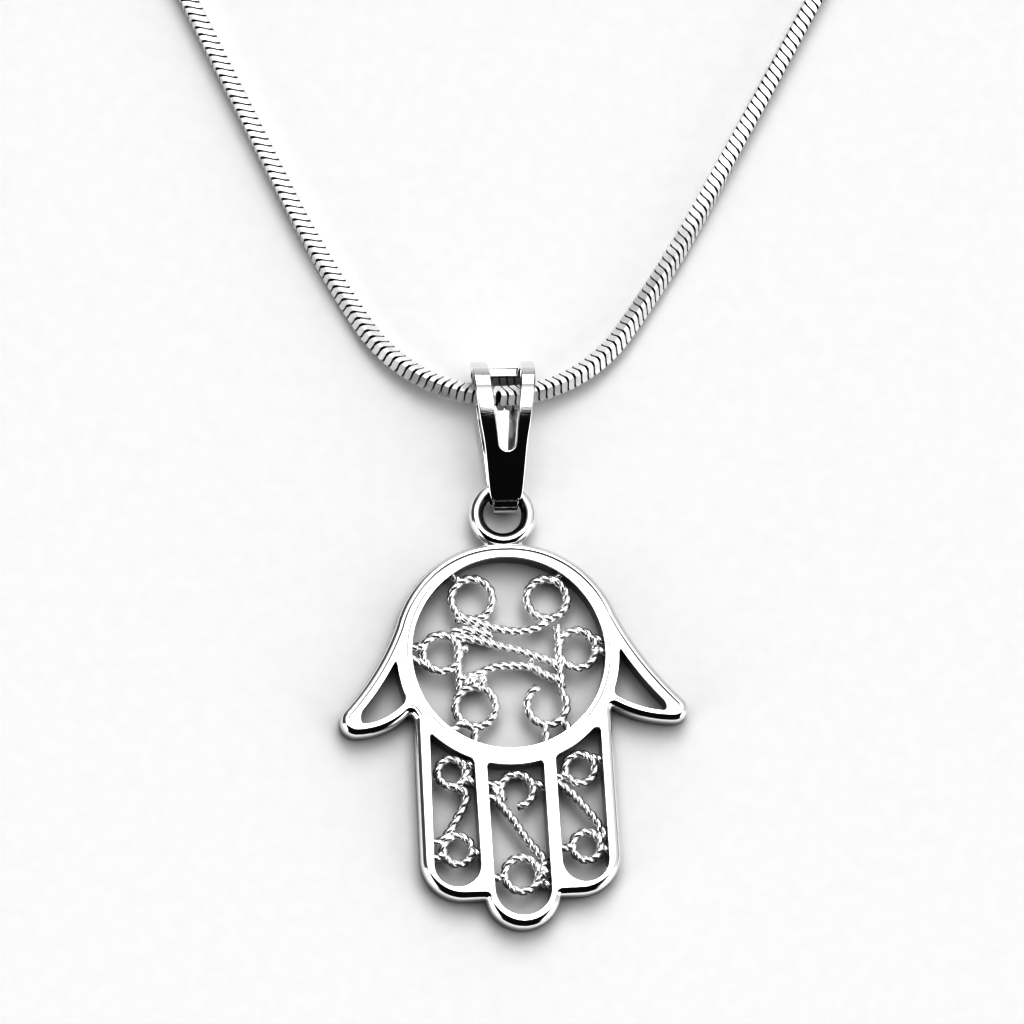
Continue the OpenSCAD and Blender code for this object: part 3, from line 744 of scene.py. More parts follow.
# The filigree in the palm and the fingers. Rope of two thin silver wires twisted together, bent to
# loops and scrolls and soldered where it meets. Geometry Nodes twist two strands along each rope.
ROPE_D = 0.64
ROPE_Z = 1.1
ROPE_PITCH = 1.25
ROPE_STEP = 0.07
STRAND_R = 0.21
ROPE_SIDES = 8
LOOP_STEPS = 72
ROPE_RISE = 0.09
ROPE_WANDER = 0.4
ROPE_SEED = 3.7
LUMP_LONG = 1.1
LUMP_FLAT = 0.9
LUMP_ROUGH = 0.35

PALM_LOOPS = [(-0.34, 0.60, 0.215, 0, 360), (0.44, 0.59, 0.21, 0, 360), (-0.68, 0.04, 0.19, 0, 360),
              (0.73, 0.05, 0.195, 0, 360), (-0.35, -0.53, 0.21, 0, 360), (0.39, -0.53, 0.205, 115, 405)]
PALM_ROPES = [
    [(-0.50, 0.40), (-0.22, 0.33), (-0.07, 0.28), (0.12, 0.25), (0.31, 0.28), (0.42, 0.34)],
    [(-0.56, 0.26), (-0.38, 0.28), (-0.15, 0.22)],
    [(-0.55, 0.21), (-0.30, 0.17), (-0.07, 0.10), (0.12, 0.05), (0.26, 0), (0.44, -0.07), (0.53, -0.13)],
    [(-0.51, -0.25), (-0.29, -0.18), (-0.18, -0.13), (-0.07, -0.11), (0.09, -0.11), (0.25, -0.13),
     (0.37, -0.20), (0.55, -0.28)],
    [(-0.51, 0.17), (-0.51, -0.34)],
    [(0.53, 0.30), (0.54, 0.07), (0.54, -0.14), (0.56, -0.34)],
    [(-0.44, 0.78), (-0.56, 0.88)], [(0.53, 0.76), (0.60, 0.85)],
    [(-0.84, 0.12), (-1.01, 0.10)], [(-1.01, 0), (-0.82, -0.10)],
    [(0.90, 0.03), (1.02, 0.02)], [(0.85, 0.18), (1.01, 0.13)],
    [(-0.48, -0.69), (-0.64, -0.79)], [(-0.36, -0.74), (-0.38, -0.95)],
    [(0.36, -0.73), (0.37, -0.95)], [(0.52, -0.68), (0.63, -0.80)]]
PALM_BALLS = [(-0.43, 0.08, 0.04), (0.25, -0.06, 0.035), (-0.40, -0.26, 0.075), (-0.28, -0.26, 0.075)]
LEFT_LOOPS = [(0.03, 0.24, 0.60, 0, 360), (0.08, 0.75, 0.62, 0, 360)]
LEFT_ROPES = [
    [(0.45, 0.17), (1.05, 0.20)], [(0.5, 0.29), (1.05, 0.31)],
    [(0.05, 0.33), (0.6, 0.38), (0.5, 0.45), (0.15, 0.54), (-0.15, 0.61), (-0.55, 0.68), (-1.05, 0.70)],
    [(-0.5, 0.78), (-1.05, 0.80)], [(0.6, 0.76), (1.05, 0.78)]]
LEFT_BALLS = [(0.75, 0.25, 0.2)]
MIDDLE_LOOPS = [(0.03, 0.155, 0.58, -85, 215), (0, 0.72, 0.61, 0, 360)]
MIDDLE_ROPES = [
    [(-0.5, 0.11), (-1.05, 0.11)], [(0.45, 0.10), (1.05, 0.14)],
    [(-1.05, 0.20), (-0.76, 0.21), (-0.44, 0.285), (-0.12, 0.37), (0.2, 0.47), (0.57, 0.56), (0.9, 0.64)],
    [(-0.55, 0.73), (-1.05, 0.74)], [(0.9, 0.64), (0.78, 0.68), (0.8, 0.78), (1.05, 0.80)]]
MIDDLE_BALLS = [(-0.75, 0.15, 0.22), (0.8, 0.72, 0.26)]
RIGHT_LOOPS = [(0.05, 0.25, 0.64, 0, 360), (0.12, 0.76, 0.61, 0, 360)]
RIGHT_ROPES = [
    [(-0.5, 0.29), (-1.05, 0.30)], [(0.6, 0.18), (1.05, 0.20)],
    [(-1.05, 0.34), (-0.85, 0.35), (-0.4, 0.41), (0.06, 0.49), (0.52, 0.58), (0.78, 0.65), (1.05, 0.71)],
    [(-0.45, 0.76), (-1.05, 0.77)], [(0.65, 0.78), (1.05, 0.79)]]
RIGHT_BALLS = [(0.95, 0.93, 0.2)]


def socket(modifier, name):
    """The identifier of a tree's named input."""
    for item in modifier.node_group.interface.items_tree:
        if item.item_type == "SOCKET" and item.in_out == "INPUT" and item.name == name:
            return item.identifier


def keep_shape(piece, modifier):
    """Makes what a modifier shows the piece's own plain mesh, and takes the modifier off."""
    graph = bpy.context.evaluated_depsgraph_get()
    made = bpy.data.meshes.new_from_object(piece.evaluated_get(graph))
    piece.modifiers.remove(modifier)
    piece.data = made


def run_nodes(piece, tree, values):
    modifier = piece.modifiers.new("build", "NODES")
    modifier.node_group = tree
    for name, value in values.items():
        modifier[socket(modifier, name)] = value
    keep_shape(piece, modifier)
    piece.data.transform(Matrix.Scale(MM, 4))
    return piece


def vector_calc(tree, operation, first, second=None):
    """Works on vectors. The second value is a vector, or a number to scale by."""
    values = {0: first}
    if second is not None:
        values["Scale" if operation == "SCALE" else 1] = second
    made = add(tree, "ShaderNodeVectorMath", values, operation=operation)
    return made.outputs["Value" if operation == "DOT_PRODUCT" else 0]


def end_tree(tree, geometry, material):
    """Ends a tree with real geometry and its material."""
    real = add(tree, "GeometryNodeRealizeInstances", {0: geometry})
    silvered = add(tree, "GeometryNodeSetMaterial", {"Geometry": real.outputs[0], "Material": material})
    add(tree, "NodeGroupOutput", {0: silvered.outputs[0]})


def rope_tree():
    """Two strands twisted round each line of the mesh."""
    tree = bpy.data.node_groups.new("twisted_rope", "GeometryNodeTree")
    new_sockets(tree, "INPUT", "Geometry", "Geometry")
    new_sockets(tree, "INPUT", "Float", "Strand Radius", "Twist Radius", "Pitch", "Step")
    new_sockets(tree, "INPUT", "Int", "Sides")
    new_sockets(tree, "INPUT", "Material", "Material")
    new_sockets(tree, "OUTPUT", "Geometry", "Geometry")
    given = add(tree, "NodeGroupInput").outputs
    line = add(tree, "GeometryNodeMeshToCurve", {"Mesh": given["Geometry"]})
    even = add(tree, "GeometryNodeResampleCurve", {"Curve": line.outputs[0], "Length": given["Step"]},
               mode="LENGTH")
    length = add(tree, "GeometryNodeSplineLength").outputs["Length"]
    turns = calc(tree, "ROUND", calc(tree, "DIVIDE", length, given["Pitch"]))
    factor = add(tree, "GeometryNodeSplineParameter").outputs["Factor"]
    angle = calc(tree, "MULTIPLY", calc(tree, "MULTIPLY", turns, factor), 2 * math.pi)
    normal = add(tree, "GeometryNodeInputNormal").outputs["Normal"]
    tangent = add(tree, "GeometryNodeInputTangent").outputs["Tangent"]
    beside = vector_calc(tree, "CROSS_PRODUCT", tangent, normal)
    sides = [vector_calc(tree, "SCALE", turned,
                         calc(tree, "MULTIPLY", calc(tree, way, angle), given["Twist Radius"]))
             for way, turned in (("COSINE", normal), ("SINE", beside))]
    out_way = vector_calc(tree, "ADD", sides[0], sides[1])
    back_way = vector_calc(tree, "SCALE", out_way, -1.0)
    both = add(tree, "GeometryNodeJoinGeometry")
    for offset in (out_way, back_way):
        strand = add(tree, "GeometryNodeSetPosition", {"Geometry": even.outputs[0], "Offset": offset})
        tree.links.new(strand.outputs[0], both.inputs[0])
    wire = add(tree, "GeometryNodeCurvePrimitiveCircle", {"Resolution": given["Sides"],
                                                          "Radius": given["Strand Radius"]})
    swept = add(tree, "GeometryNodeCurveToMesh", {"Curve": both.outputs[0], "Profile Curve": wire.outputs[0],
                                                  "Fill Caps": True})
    smooth = add(tree, "GeometryNodeSetShadeSmooth", {0: swept.outputs[0]})
    end_tree(tree, smooth.outputs[0], given["Material"])
    return tree


def curved(points, steps=8):
    """A smooth line through a rope's points."""
    ends = [points[0] * 2 - points[1]] + points + [points[-1] * 2 - points[-2]]
    line = []
    for a, b, c, d in zip(ends, ends[1:], ends[2:], ends[3:]):
        for i in range(steps):
            t = i / steps
            line.append(0.5 * (2 * b + (c - a) * t + (2 * a - 5 * b + 4 * c - d) * t * t
                               + (3 * b - a - 3 * c + d) * t ** 3))
    return line + [points[-1]]


def cell_point(x, half, top, end):
    return lambda p: (Matrix.Rotation(FINGER_LEAN, 2) @ Vector((x + half * p[0], -top - (end - top) * p[1])),
                      half)


def palm_point(p):
    return Vector((PALM_HOLE_R * p[0], PALM_HOLE_R * p[1])), PALM_HOLE_R


FILIGREE = [
    (palm_point, PALM_LOOPS, PALM_ROPES, PALM_BALLS),
    (cell_point(-OUTER_CELL_X, OUTER_CELL_HALF, CELL_TOP, OUTER_CELL_END), LEFT_LOOPS, LEFT_ROPES,
     LEFT_BALLS),
    (cell_point(0, MIDDLE_CELL_HALF, PALM_R, MIDDLE_CELL_END), MIDDLE_LOOPS, MIDDLE_ROPES, MIDDLE_BALLS),
    (cell_point(OUTER_CELL_X, OUTER_CELL_HALF, CELL_TOP, OUTER_CELL_END), RIGHT_LOOPS, RIGHT_ROPES,
     RIGHT_BALLS)]


def rope_lines():
    """Each rope's line in the hand's frame, and whether it closes."""
    for place, loops, ropes, _ in FILIGREE:
        for loop in loops:
            centre, share = place(loop)
            line = arc(centre, share * loop[2], loop[3], loop[4], LOOP_STEPS)
            closed = loop[4] - loop[3] == 360
            yield (line[:-1] if closed else line), closed
        for rope in ropes:
            yield curved([place(p)[0] for p in rope]), False


def filigree(material):
    points, edges = [], []
    for number, (line, closed) in enumerate(rope_lines()):
        first = len(points)
        for p in line:
            lift = ROPE_RISE * noise.noise(Vector((p.x * ROPE_WANDER, p.y * ROPE_WANDER,
                                                   number * ROPE_SEED)))
            points.append(Vector((p.x, p.y, ROPE_Z + lift)))
        edges += [(i, i + 1) for i in range(first, len(points) - 1)]
        if closed:
            edges.append((len(points) - 1, first))
    made = link_piece("filigree", [lay_on_palm(p, p[2]) / MM for p in points], [], edges)
    return run_nodes(made, rope_tree(), {"Strand Radius": STRAND_R, "Twist Radius": ROPE_D / 2 - STRAND_R,
                                         "Pitch": ROPE_PITCH, "Step": ROPE_STEP, "Sides": ROPE_SIDES,
                                         "Material": material})


def solder():
    lumps = []
    for place, _, _, balls in FILIGREE:
        for lump in balls:
            centre, share = place(lump)
            radius = share * lump[2]
            lumps.append(ball((centre.x, centre.y, ROPE_Z),
                              (radius, radius * LUMP_LONG, radius * LUMP_FLAT), LUMP_ROUGH))
    return joined("filigree_solder", on_palm(lumps))


# Painted shade: the rope is darker below about 1.2 mm, on the underside of its strands.
rope_silver = silver("rope_wire", (0.99, 0.985, 0.98, 1), SHADE_AND_JOINT_DARK, painted_shade_height=1.17, painted_shade_fade=0.1,
                     polish=0.22, scratches=0.25, waves=0.2, metal=0.85)
put_on(filigree(rope_silver), rope_silver, "hand")
put_on(solder(), rope_silver, "hand")


# The bail. A strip of silver folded to a closed loop, narrow at the fold that holds the ring and forked
# at the wide crown that rides on the chain. The loop is cut to its outline and slot, then its edges
# are rounded a little, as a polished strip's are.
BAIL_LEN = 10.2
BAIL_T = 0.5
FOLD_R = 1.2
CROWN_R = 2.1
BAIL_FOLD_HALF = 0.86
BAIL_CROWN_HALF = 2.25
SLOT_END_HALF = 0.56
SLOT_CROWN_HALF = 1.2
SLOT_SHIFT = 0.1
SLOT_START = 3.9
SLOT_BACK = 28
BAIL_TURN = math.radians(2.7)
BAIL_SLIDE = 0.46
CHAIN_DROP = 2.15
BAIL_EDGE = [(0, 0), (0.06, 0.06), (0.12, 0.25), (0.42, 0.46), (0.62, 0.68), (1, 1)]
BAIL_EDGE_R = 0.12
BAIL_EDGE_STEPS = 3
BAIL_EDGE_A = 45
BACK_SHARE = 0.82
FRONT_TOP = 7
FRONT_END = 22
FOLD_STEP = 0.1
CROWN_STEPS = 96
FRONT_STEPS = 24
FOLD_STEPS = 64
STEP_FROM = 190
STEP_OVER = 60
STEP_RAMP = 3
SLOT_STEPS = 32
# A band of painted shade across the bail's crown, in millimetres along the strip.
CROWN_SHADE_FROM = 7.6
CROWN_SHADE_FROM_OVER = 0.6
CROWN_SHADE_TO = 8.5
CROWN_SHADE_TO_OVER = 0.9
SPARE = 0.6
bail_at = Vector((BAIL_SLIDE, bend_y, 0)) + (BAIL_LEN - CHAIN_DROP) * Vector(
    (math.sin(BAIL_TURN), -math.cos(BAIL_TURN), 0))


def prism(name, outline, start, end, axis, share=1.0):
    """A closed block with the given outline, from start to end along X or Z. A block along Z is as
    wide at its start as the given share of its width at its end."""
    if area(outline) < 0:
        outline = outline[::-1]
    count = len(outline)
    if axis == "X":
        points = [Vector((x, p.x, p.y)) for x in (start, end) for p in outline]
    else:
        points = [Vector((p.x * wide, p.y, z)) for z, wide in ((start, share), (end, 1)) for p in outline]
    ends = [tuple(range(count))[::-1], tuple(range(count, 2 * count))]
    return link_piece(name, points, ends + band(0, count, count, flip=True))


def drop(inset_by):
    """The side view of the bail: the crown's arc, a slightly bulged front and the fold's arc. Outside,
    the fold starts with a fine step down."""
    crown_c, fold_c = Vector((BAIL_LEN - CROWN_R, CROWN_R)), Vector((FOLD_R, FOLD_R))
    crown = arc(crown_c, CROWN_R - inset_by, -90, 90 + FRONT_TOP, CROWN_STEPS)
    start, end = crown[-1], fold_c + polar(FOLD_R - inset_by, 90 + FRONT_END)
    down, up = polar(1, 180 + FRONT_TOP), polar(1, FRONT_END)
    bend = geometry.intersect_line_line_2d(start, start + down * BAIL_LEN, end, end + up * BAIL_LEN)
    front = [start * (1 - t) ** 2 + bend * 2 * t * (1 - t) + end * t * t
             for t in (i / FRONT_STEPS for i in range(1, FRONT_STEPS + 1))]
    fold = []
    for i in range(1, FOLD_STEPS + 1):
        angle = FRONT_END + 90 + (180 - FRONT_END) * i / FOLD_STEPS
        fading = (1 - eased((angle - STEP_FROM) / STEP_OVER)) * eased(i / STEP_RAMP)
        step = 0 if inset_by else FOLD_STEP * fading
        fold.append(fold_c + polar(FOLD_R - inset_by - step, angle))
    return crown + front + fold


def finished(piece, kind, **settings):
    """Runs one modifier on a piece and keeps what it makes."""
    modifier = piece.modifiers.new("finish", kind)
    for name, value in settings.items():
        setattr(modifier, name, value)
    keep_shape(piece, modifier)


def cut(piece, cutter, operation):
    finished(piece, "BOOLEAN", object=cutter, operation=operation, solver="EXACT")
    bpy.data.objects.remove(cutter)


def bail():
    wide = BAIL_CROWN_HALF + SPARE
    made = prism("bail_strip", drop(0), -wide, wide, "X")
    cut(made, prism("inside", drop(BAIL_T), -wide - SPARE, wide + SPARE, "X"), "DIFFERENCE")
    halves = [(BAIL_FOLD_HALF + (BAIL_CROWN_HALF - BAIL_FOLD_HALF) * flare, BAIL_LEN * share)
              for share, flare in BAIL_EDGE]
    halves[0] = (halves[0][0], -SPARE)
    halves.append((halves[-1][0], BAIL_LEN + SPARE))
    right = curved([Vector(p) for p in halves])
    edge = right + [Vector((-p.x, p.y)) for p in right[::-1]]
    cut(made, prism("edge", edge, -SPARE, 2 * CROWN_R, "Z", BACK_SHARE), "INTERSECT")
    slot_y = SLOT_START + SLOT_END_HALF
    slot = arc((SLOT_SHIFT, slot_y), SLOT_END_HALF, 180, 360, SLOT_STEPS)
    slot += [Vector((SLOT_SHIFT + x, BAIL_LEN + SPARE)) for x in (SLOT_CROWN_HALF, -SLOT_CROWN_HALF)]
    slot_z = CROWN_R * (1 - math.sin(math.radians(SLOT_BACK)))
    cut(made, prism("slot", slot, slot_z, 2 * CROWN_R + SPARE, "Z"), "DIFFERENCE")
    finished(made, "BEVEL", width=BAIL_EDGE_R, segments=BAIL_EDGE_STEPS, limit_method="ANGLE",
             angle_limit=math.radians(BAIL_EDGE_A), use_clamp_overlap=False)
    smoothed(made, SHARP)
    finished(made, "WEIGHTED_NORMAL", keep_sharp=True)
    heights = [v.co.y for v in made.data.vertices]
    # Painted shade: a soft darker band across the crown.
    write_values(made, "painted_shade_and_joints", [eased((y - CROWN_SHADE_FROM) / CROWN_SHADE_FROM_OVER)
                                * (1 - eased((y - CROWN_SHADE_TO) / CROWN_SHADE_TO_OVER)) for y in heights])
    lay = Matrix.Translation(bail_at) @ Matrix.Rotation(BAIL_TURN, 4, "Z")
    made.data.transform(Matrix.Scale(MM, 4) @ lay)
    return made


# Its darker second colour is the painted shade of the crown's band.
bail_silver = silver("polished_bail", (0.89, 0.89, 0.89, 1), (0.34, 0.337, 0.333, 1), painted_shade_height=-1.0,
                     painted_shade_fade=0.5, polish=0.05, scratches=0.06, waves=0.05)
put_on(bail(), bail_silver, "bail")


# The chain. Square snake chain: plates bent like saddles, one behind the other round a hollow, which a
# near-black tube fills as painted shade.
# The plates are set out along the loop by Geometry Nodes, turned with the chain, and leaned along it.
NECKLACE = 450
BEND_R = 10.5
BEND_A = 34
EASE_R = 90
STRAND_A = 27.2
LIE_DOWN = 13
REST_Z = 0.672
BAIL_Z = 1.25
PLATE_PITCH = 0.52
PLATE_GAP = 0.045
PLATE_HALF = 0.55
PLATE_BEVEL = 0.15
PLATE_SADDLE = -0.09
PLATE_END = 0.035
PLATE_INNER = 0.2
PLATE_NOTCH = 0.15
PLATE_RIM = 0.93
PLATE_POINTS = 16
PLATE_SHARP = 25
PLATE_TURN = 45
CORE_R = 0.36
CORE_STEPS = 420
CORE_SIDES = 8
CORE_AHEAD = 0.01
PATH_STEPS = 1600
TWIST = ((3.0, 17.0), (7.0, 25.0))
LEAN = ((-0.3, -0.48, 22.0), (0.28, -0.62, 16.0))
CAP_LEN = 4
CAP_D = 2
CAP_BORE = 3
CAP_RISE = 8
CLASP_LEN = 7
CLASP_D = 2.5
EYE_R = 0.95
EYE_WIRE_R = 0.3
JUMP_R = 1.1
JUMP_WIRE_R = 0.28
GAP = 0.05

cap_z = CAP_D / 2
jump_z = JUMP_R + JUMP_WIRE_R
clasp_z = CLASP_D / 2
clasp_eye_x = CLASP_LEN / 2 + EYE_R
jump_x = clasp_eye_x + math.sqrt(JUMP_R ** 2 - (jump_z - clasp_z) ** 2) + GAP
cap_eye_x = jump_x + math.sqrt(JUMP_R ** 2 - (jump_z - cap_z) ** 2) + GAP
cap_inner_x = cap_eye_x + EYE_R
cap_outer_x = cap_inner_x + CAP_LEN
chain_half = NECKLACE / 2 - (cap_outer_x - CAP_BORE + GAP)
bend_len = BEND_R * math.radians(90 - BEND_A)
ease_len = EASE_R * math.radians(BEND_A - STRAND_A)
ease_c = Vector((0, BEND_R)) + (BEND_R - EASE_R) * polar(1, -BEND_A)
ease_end = ease_c + polar(EASE_R, -STRAND_A)
back_turn = math.radians(90 + STRAND_A)
strand_sin = math.sin(math.radians(STRAND_A))
strand_cos = math.cos(math.radians(STRAND_A))
back_r = ((NECKLACE / 2 - bend_len - ease_len - cap_outer_x - (cap_outer_x - ease_end.x) / strand_sin)
          / (back_turn + strand_cos / strand_sin))
strand_len = (cap_outer_x + back_r * strand_cos - ease_end.x) / strand_sin
strand_end = ease_end + strand_len * Vector((strand_sin, strand_cos))
back_c = Vector((cap_outer_x, strand_end.y + back_r * strand_sin))
loop_top = back_c.y + back_r + bend_y


def half_place(s):
    """A place on the right half of the loop, at the distance s from the bail."""
    if s < bend_len:
        return Vector((0, BEND_R)) + polar(BEND_R, math.degrees(s / BEND_R) - 90)
    s -= bend_len
    if s < ease_len:
        return ease_c + polar(EASE_R, math.degrees(s / EASE_R) - BEND_A)
    s -= ease_len
    if s < strand_len:
        return ease_end + s * Vector((strand_sin, strand_cos))
    s -= strand_len
    if s < back_r * back_turn:
        return back_c + polar(back_r, math.degrees(s / back_r) - STRAND_A)
    return Vector((cap_outer_x - (s - back_r * back_turn), back_c.y + back_r))


def chain_height(s):
    at_bail = BAIL_FOLD_HALF + (BAIL_CROWN_HALF - BAIL_FOLD_HALF) * (1 - CHAIN_DROP / BAIL_LEN)
    over = (BAIL_Z - REST_Z) * (1 - eased((s - at_bail) / (LIE_DOWN - at_bail)))
    return REST_Z + over + (cap_z - REST_Z) * eased((s - chain_half + CAP_BORE + CAP_RISE) / CAP_RISE)


def plate_mesh():
    """One plate round the Z axis, before it is set on the chain: bevelled and notched corners, and rounded
    rims. Each row goes round it with four points on a side."""
    flat = PLATE_HALF - PLATE_BEVEL
    corners = [(Matrix.Rotation(math.pi / 2 * k, 2) @ Vector((PLATE_HALF, y)), abs(y) == flat)
               for k in range(4) for y in (-flat, -PLATE_INNER, PLATE_INNER, flat)]
    half = (PLATE_PITCH - PLATE_GAP) / 2
    points = []
    for height, share in ((-half, PLATE_RIM), (PLATE_END - half, 1), (half - PLATE_END, 1),
                          (half, PLATE_RIM)):
        for p, notched in corners:
            saddle = PLATE_SADDLE * math.sin(2 * math.atan2(p.y, p.x))
            low = height * (1 - PLATE_NOTCH) if notched else height
            points.append(Vector((p.x * share, p.y * share, low + saddle)))
    last = len(points) - PLATE_POINTS
    faces = [tuple(range(PLATE_POINTS))[::-1], tuple(range(last, len(points)))]
    for row in range(0, last, PLATE_POINTS):
        faces += band(row, row + PLATE_POINTS, PLATE_POINTS, flip=True)
    made = link_piece("plate", points, faces)
    # The plates' rims are dark, as the joints between them.
    write_values(made, "painted_shade_and_joints", [float(i < PLATE_POINTS or i >= last) for i in range(len(points))])
    smoothed(made, PLATE_SHARP)
    return made


def chain_path():
    """The chain's line with, at each point, the turn of its plates and their lean along it."""
    points, twists, leans = [], [], []
    for i in range(PATH_STEPS + 1):
        s = chain_half * (2 * i / PATH_STEPS - 1)
        side = -1 if s < 0 else 1
        p = half_place(abs(s))
        points.append(Vector((side * p.x, p.y + bend_y, chain_height(abs(s)))))
        start, over = TWIST[s > 0]
        turned = math.radians(PLATE_TURN) * (eased((abs(s) - start) / over) - 1)
        twists.append(turned + (math.pi / 2 if s > 0 else 0))
        near, far, over = LEAN[s > 0]
        leans.append(near + (far - near) * eased(abs(s) / over))
    made = link_piece("chain_plates", points, [], [(i, i + 1) for i in range(PATH_STEPS)])
    write_values(made, "twist", twists)
    write_values(made, "lean", leans)
    return made


def chain_tree():
    """Sets plates out along a line, turns each by its twist and shears it by its lean."""
    tree = bpy.data.node_groups.new("snake_chain", "GeometryNodeTree")
    new_sockets(tree, "INPUT", "Geometry", "Geometry")
    new_sockets(tree, "INPUT", "Object", "Plate")
    new_sockets(tree, "INPUT", "Float", "Pitch")
    new_sockets(tree, "INPUT", "Material", "Material")
    new_sockets(tree, "OUTPUT", "Geometry", "Geometry")

    def named(name, kind):
        return add(tree, "GeometryNodeInputNamedAttribute", {"Name": name}, data_type=kind).outputs[0]

    given = add(tree, "NodeGroupInput").outputs
    line = add(tree, "GeometryNodeMeshToCurve", {"Mesh": given["Geometry"]})
    spots = add(tree, "GeometryNodeCurveToPoints", {"Curve": line.outputs[0], "Length": given["Pitch"]},
                mode="LENGTH")
    up = (0, 0, 1)
    level = add(tree, "FunctionNodeAlignRotationToVector", {"Vector": spots.outputs["Tangent"]}, axis="Z")
    upright = add(tree, "FunctionNodeAlignRotationToVector", {"Rotation": level.outputs[0], "Vector": up},
                  axis="X", pivot_axis="Z")
    about = add(tree, "FunctionNodeAxisAngleToRotation", {"Axis": up, "Angle": named("twist", "FLOAT")})
    turned = add(tree, "FunctionNodeRotateRotation", {0: upright.outputs[0], 1: about.outputs[0]},
                 rotation_space="LOCAL")
    position = add(tree, "GeometryNodeInputPosition").outputs[0]
    kept = spots.outputs[0]
    for name, value in (("along", spots.outputs["Tangent"]), ("middle", position)):
        kept = add(tree, "GeometryNodeStoreNamedAttribute", {"Geometry": kept, "Name": name, "Value": value},
                   data_type="FLOAT_VECTOR").outputs[0]
    plate = add(tree, "GeometryNodeObjectInfo", {"Object": given["Plate"]})
    set_out = add(tree, "GeometryNodeInstanceOnPoints",
                  {"Points": kept, "Instance": plate.outputs["Geometry"], "Rotation": turned.outputs[0]})
    real = add(tree, "GeometryNodeRealizeInstances", {0: set_out.outputs[0]})
    along = named("along", "FLOAT_VECTOR")
    side = vector_calc(tree, "CROSS_PRODUCT", along, up)
    away = vector_calc(tree, "SUBTRACT", position, named("middle", "FLOAT_VECTOR"))
    reach = vector_calc(tree, "DOT_PRODUCT", away, vector_calc(tree, "NORMALIZE", side))
    shear = calc(tree, "MULTIPLY", reach, named("lean", "FLOAT"))
    leaned_plates = add(tree, "GeometryNodeSetPosition", {
        "Geometry": real.outputs[0], "Offset": vector_calc(tree, "SCALE", along, shear)})
    end_tree(tree, leaned_plates.outputs[0], given["Material"])
    return tree


def chain_plates(material):
    plate = plate_mesh()
    made = run_nodes(chain_path(), chain_tree(), {"Plate": plate, "Pitch": PLATE_PITCH,
                                                  "Material": material})
    bpy.data.objects.remove(plate)
    return made


def chain_core():
    """A near-black tube inside the chain: painted shade for its hollow, seen in the joints."""
    points = []
    for i in range(CORE_STEPS + 1):
        s = chain_half * (2 * i / CORE_STEPS - 1)
        p, q = half_place(abs(s)), half_place(abs(s) + CORE_AHEAD)
        mirror = -1 if s < 0 else 1
        along = Vector((q.x - p.x, q.y - p.y)).normalized()
        out = Vector((along.y, -along.x))
        for k in range(CORE_SIDES):
            a = 2 * math.pi * (k + 0.5) / CORE_SIDES
            points.append(Vector((mirror * (p.x + CORE_R * math.cos(a) * out.x),
                                  p.y + bend_y + CORE_R * math.cos(a) * out.y,
                                  chain_height(abs(s)) + CORE_R * math.sin(a))) * MM)
    last = len(points) - CORE_SIDES
    faces = [tuple(range(CORE_SIDES)), tuple(range(last, len(points)))[::-1]]
    for row in range(0, last, CORE_SIDES):
        faces += band(row, row + CORE_SIDES, CORE_SIDES)
    made = link_piece("chain_core", points, faces)
    smoothed(made)
    return made


# Painted shade: the plates darken within about 0.15 mm of the surface, as contact shade. Their rims are dark
# joints.
chain_silver = silver("chain_plates", (0.91, 0.9, 0.895, 1), SHADE_AND_JOINT_DARK, painted_shade_height=0.0, painted_shade_fade=0.15,
                      polish=0.4, scratches=0.2, waves=0.08, metal=0.5)
# The tube's near-black colour is painted shade for the chain's hollow.
core_shade_silver = silver("chain_hollow_painted_shade", (0.05, 0.048, 0.046, 1), SHADE_AND_JOINT_DARK, painted_shade_height=0.0, painted_shade_fade=0.3,
                     polish=0.45, scratches=0.2, waves=0.1)
put_on(chain_plates(chain_silver), chain_silver, "chain")
put_on(chain_core(), core_shade_silver, "chain")


# The closing. Two turned end caps with soldered eyes, two jump rings and a plain barrel clasp. Nothing
# of it shows in the picture, so it is plain, and its shapes are turned like the real ones.
CAP_EDGE = 0.18
CLASP_EDGE = 0.35
CLASP_LINE = 0.06
TURN_SIDES = 64
END_STEPS = 6
CLOSING_SHARP = 50
EYE_STEPS = 64
EYE_SIDES = 20


def turned(profile, centre):
    """Turns a profile of (x, radius) round the X axis, and closes its ends with flat faces."""
    points = [Vector((centre[0] + x, centre[1] + r * math.cos(2 * math.pi * k / TURN_SIDES),
                      centre[2] + r * math.sin(2 * math.pi * k / TURN_SIDES)))
              for x, r in profile for k in range(TURN_SIDES)]
    last = len(points) - TURN_SIDES
    faces = [tuple(range(TURN_SIDES))[::-1], tuple(range(last, len(points)))]
    for row in range(0, last, TURN_SIDES):
        faces += band(row, row + TURN_SIDES, TURN_SIDES, flip=True)
    return points, faces


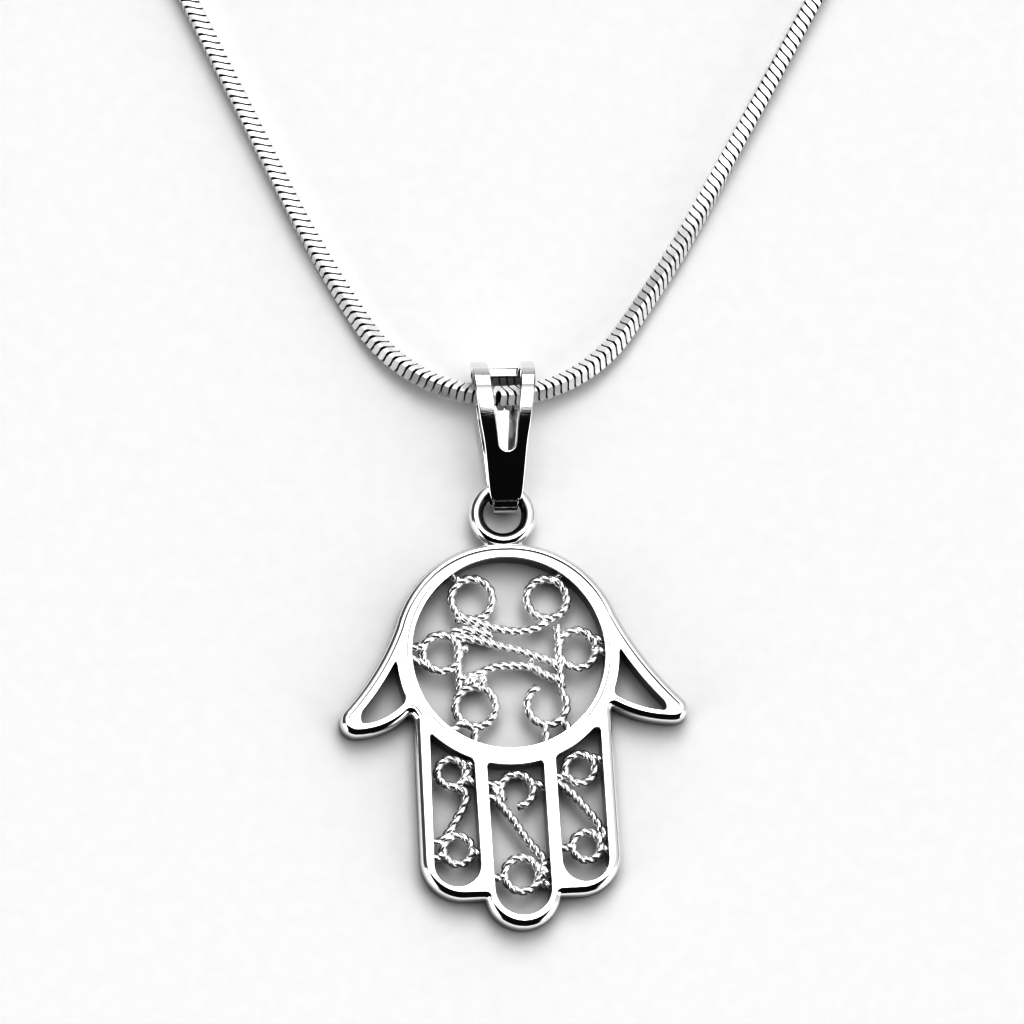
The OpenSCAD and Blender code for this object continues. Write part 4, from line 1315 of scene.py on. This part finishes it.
def rounded_end(x, radius, edge, way):
    """Profile points of a rounded end. way is -1 where the body starts and 1 where it ends."""
    steps = [math.pi / 2 * i / END_STEPS for i in range(END_STEPS + 1)]
    points = [(x - way * edge * (1 - math.cos(a)), radius - edge * (1 - math.sin(a))) for a in steps]
    return points if way < 0 else points[::-1]


def closing_piece(name, parts, node):
    made = joined(name, [([v * MM for v in verts], faces) for verts, faces in parts])
    smoothed(made, CLOSING_SHARP)
    put_on(made, closing_silver, node)


def closing_ring(x, z, turn, radius, wire):
    return torus((x, loop_top, z), turn, radius, wire, EYE_STEPS, EYE_SIDES)


# Painted shade: the closing darkens within about a quarter millimetre of the surface, as contact shade.
closing_silver = silver("closing", (0.94, 0.935, 0.93, 1), SHADE_AND_JOINT_DARK, painted_shade_height=0.0, painted_shade_fade=0.25,
                        polish=0.09, scratches=0.2, waves=0.08)
standing = Matrix.Rotation(math.pi / 2, 3, "X")
for side, name in ((-1, "left"), (1, "right")):
    ends = sorted((side * cap_inner_x, side * cap_outer_x))
    cap_profile = (rounded_end(ends[0], cap_z, CAP_EDGE, -1) + rounded_end(ends[1], cap_z, CAP_EDGE, 1))
    cap = turned(cap_profile, (0, loop_top, cap_z))
    eye_ring = closing_ring(side * cap_eye_x, cap_z, flat_ring, EYE_R, EYE_WIRE_R)
    closing_piece("end_cap_" + name + "_body", [cap, eye_ring], "end_cap_" + name)
    jump = closing_ring(side * jump_x, jump_z, standing, JUMP_R, JUMP_WIRE_R)
    closing_piece("jump_ring_" + name + "_wire", [jump], "jump_ring_" + name)

half = CLASP_LEN / 2
barrel = rounded_end(-half, clasp_z, CLASP_EDGE, -1)
for line_x in (-half / 2, 0, half / 2):
    barrel += [(line_x - CLASP_LINE, clasp_z), (line_x, clasp_z - CLASP_LINE),
               (line_x + CLASP_LINE, clasp_z)]
barrel += rounded_end(half, clasp_z, CLASP_EDGE, 1)
clasp_parts = [turned(barrel, (0, loop_top, clasp_z))]
for side in (-1, 1):
    clasp_parts.append(closing_ring(side * clasp_eye_x, clasp_z, flat_ring, EYE_R, EYE_WIRE_R))
closing_piece("clasp_barrel", clasp_parts, "clasp")
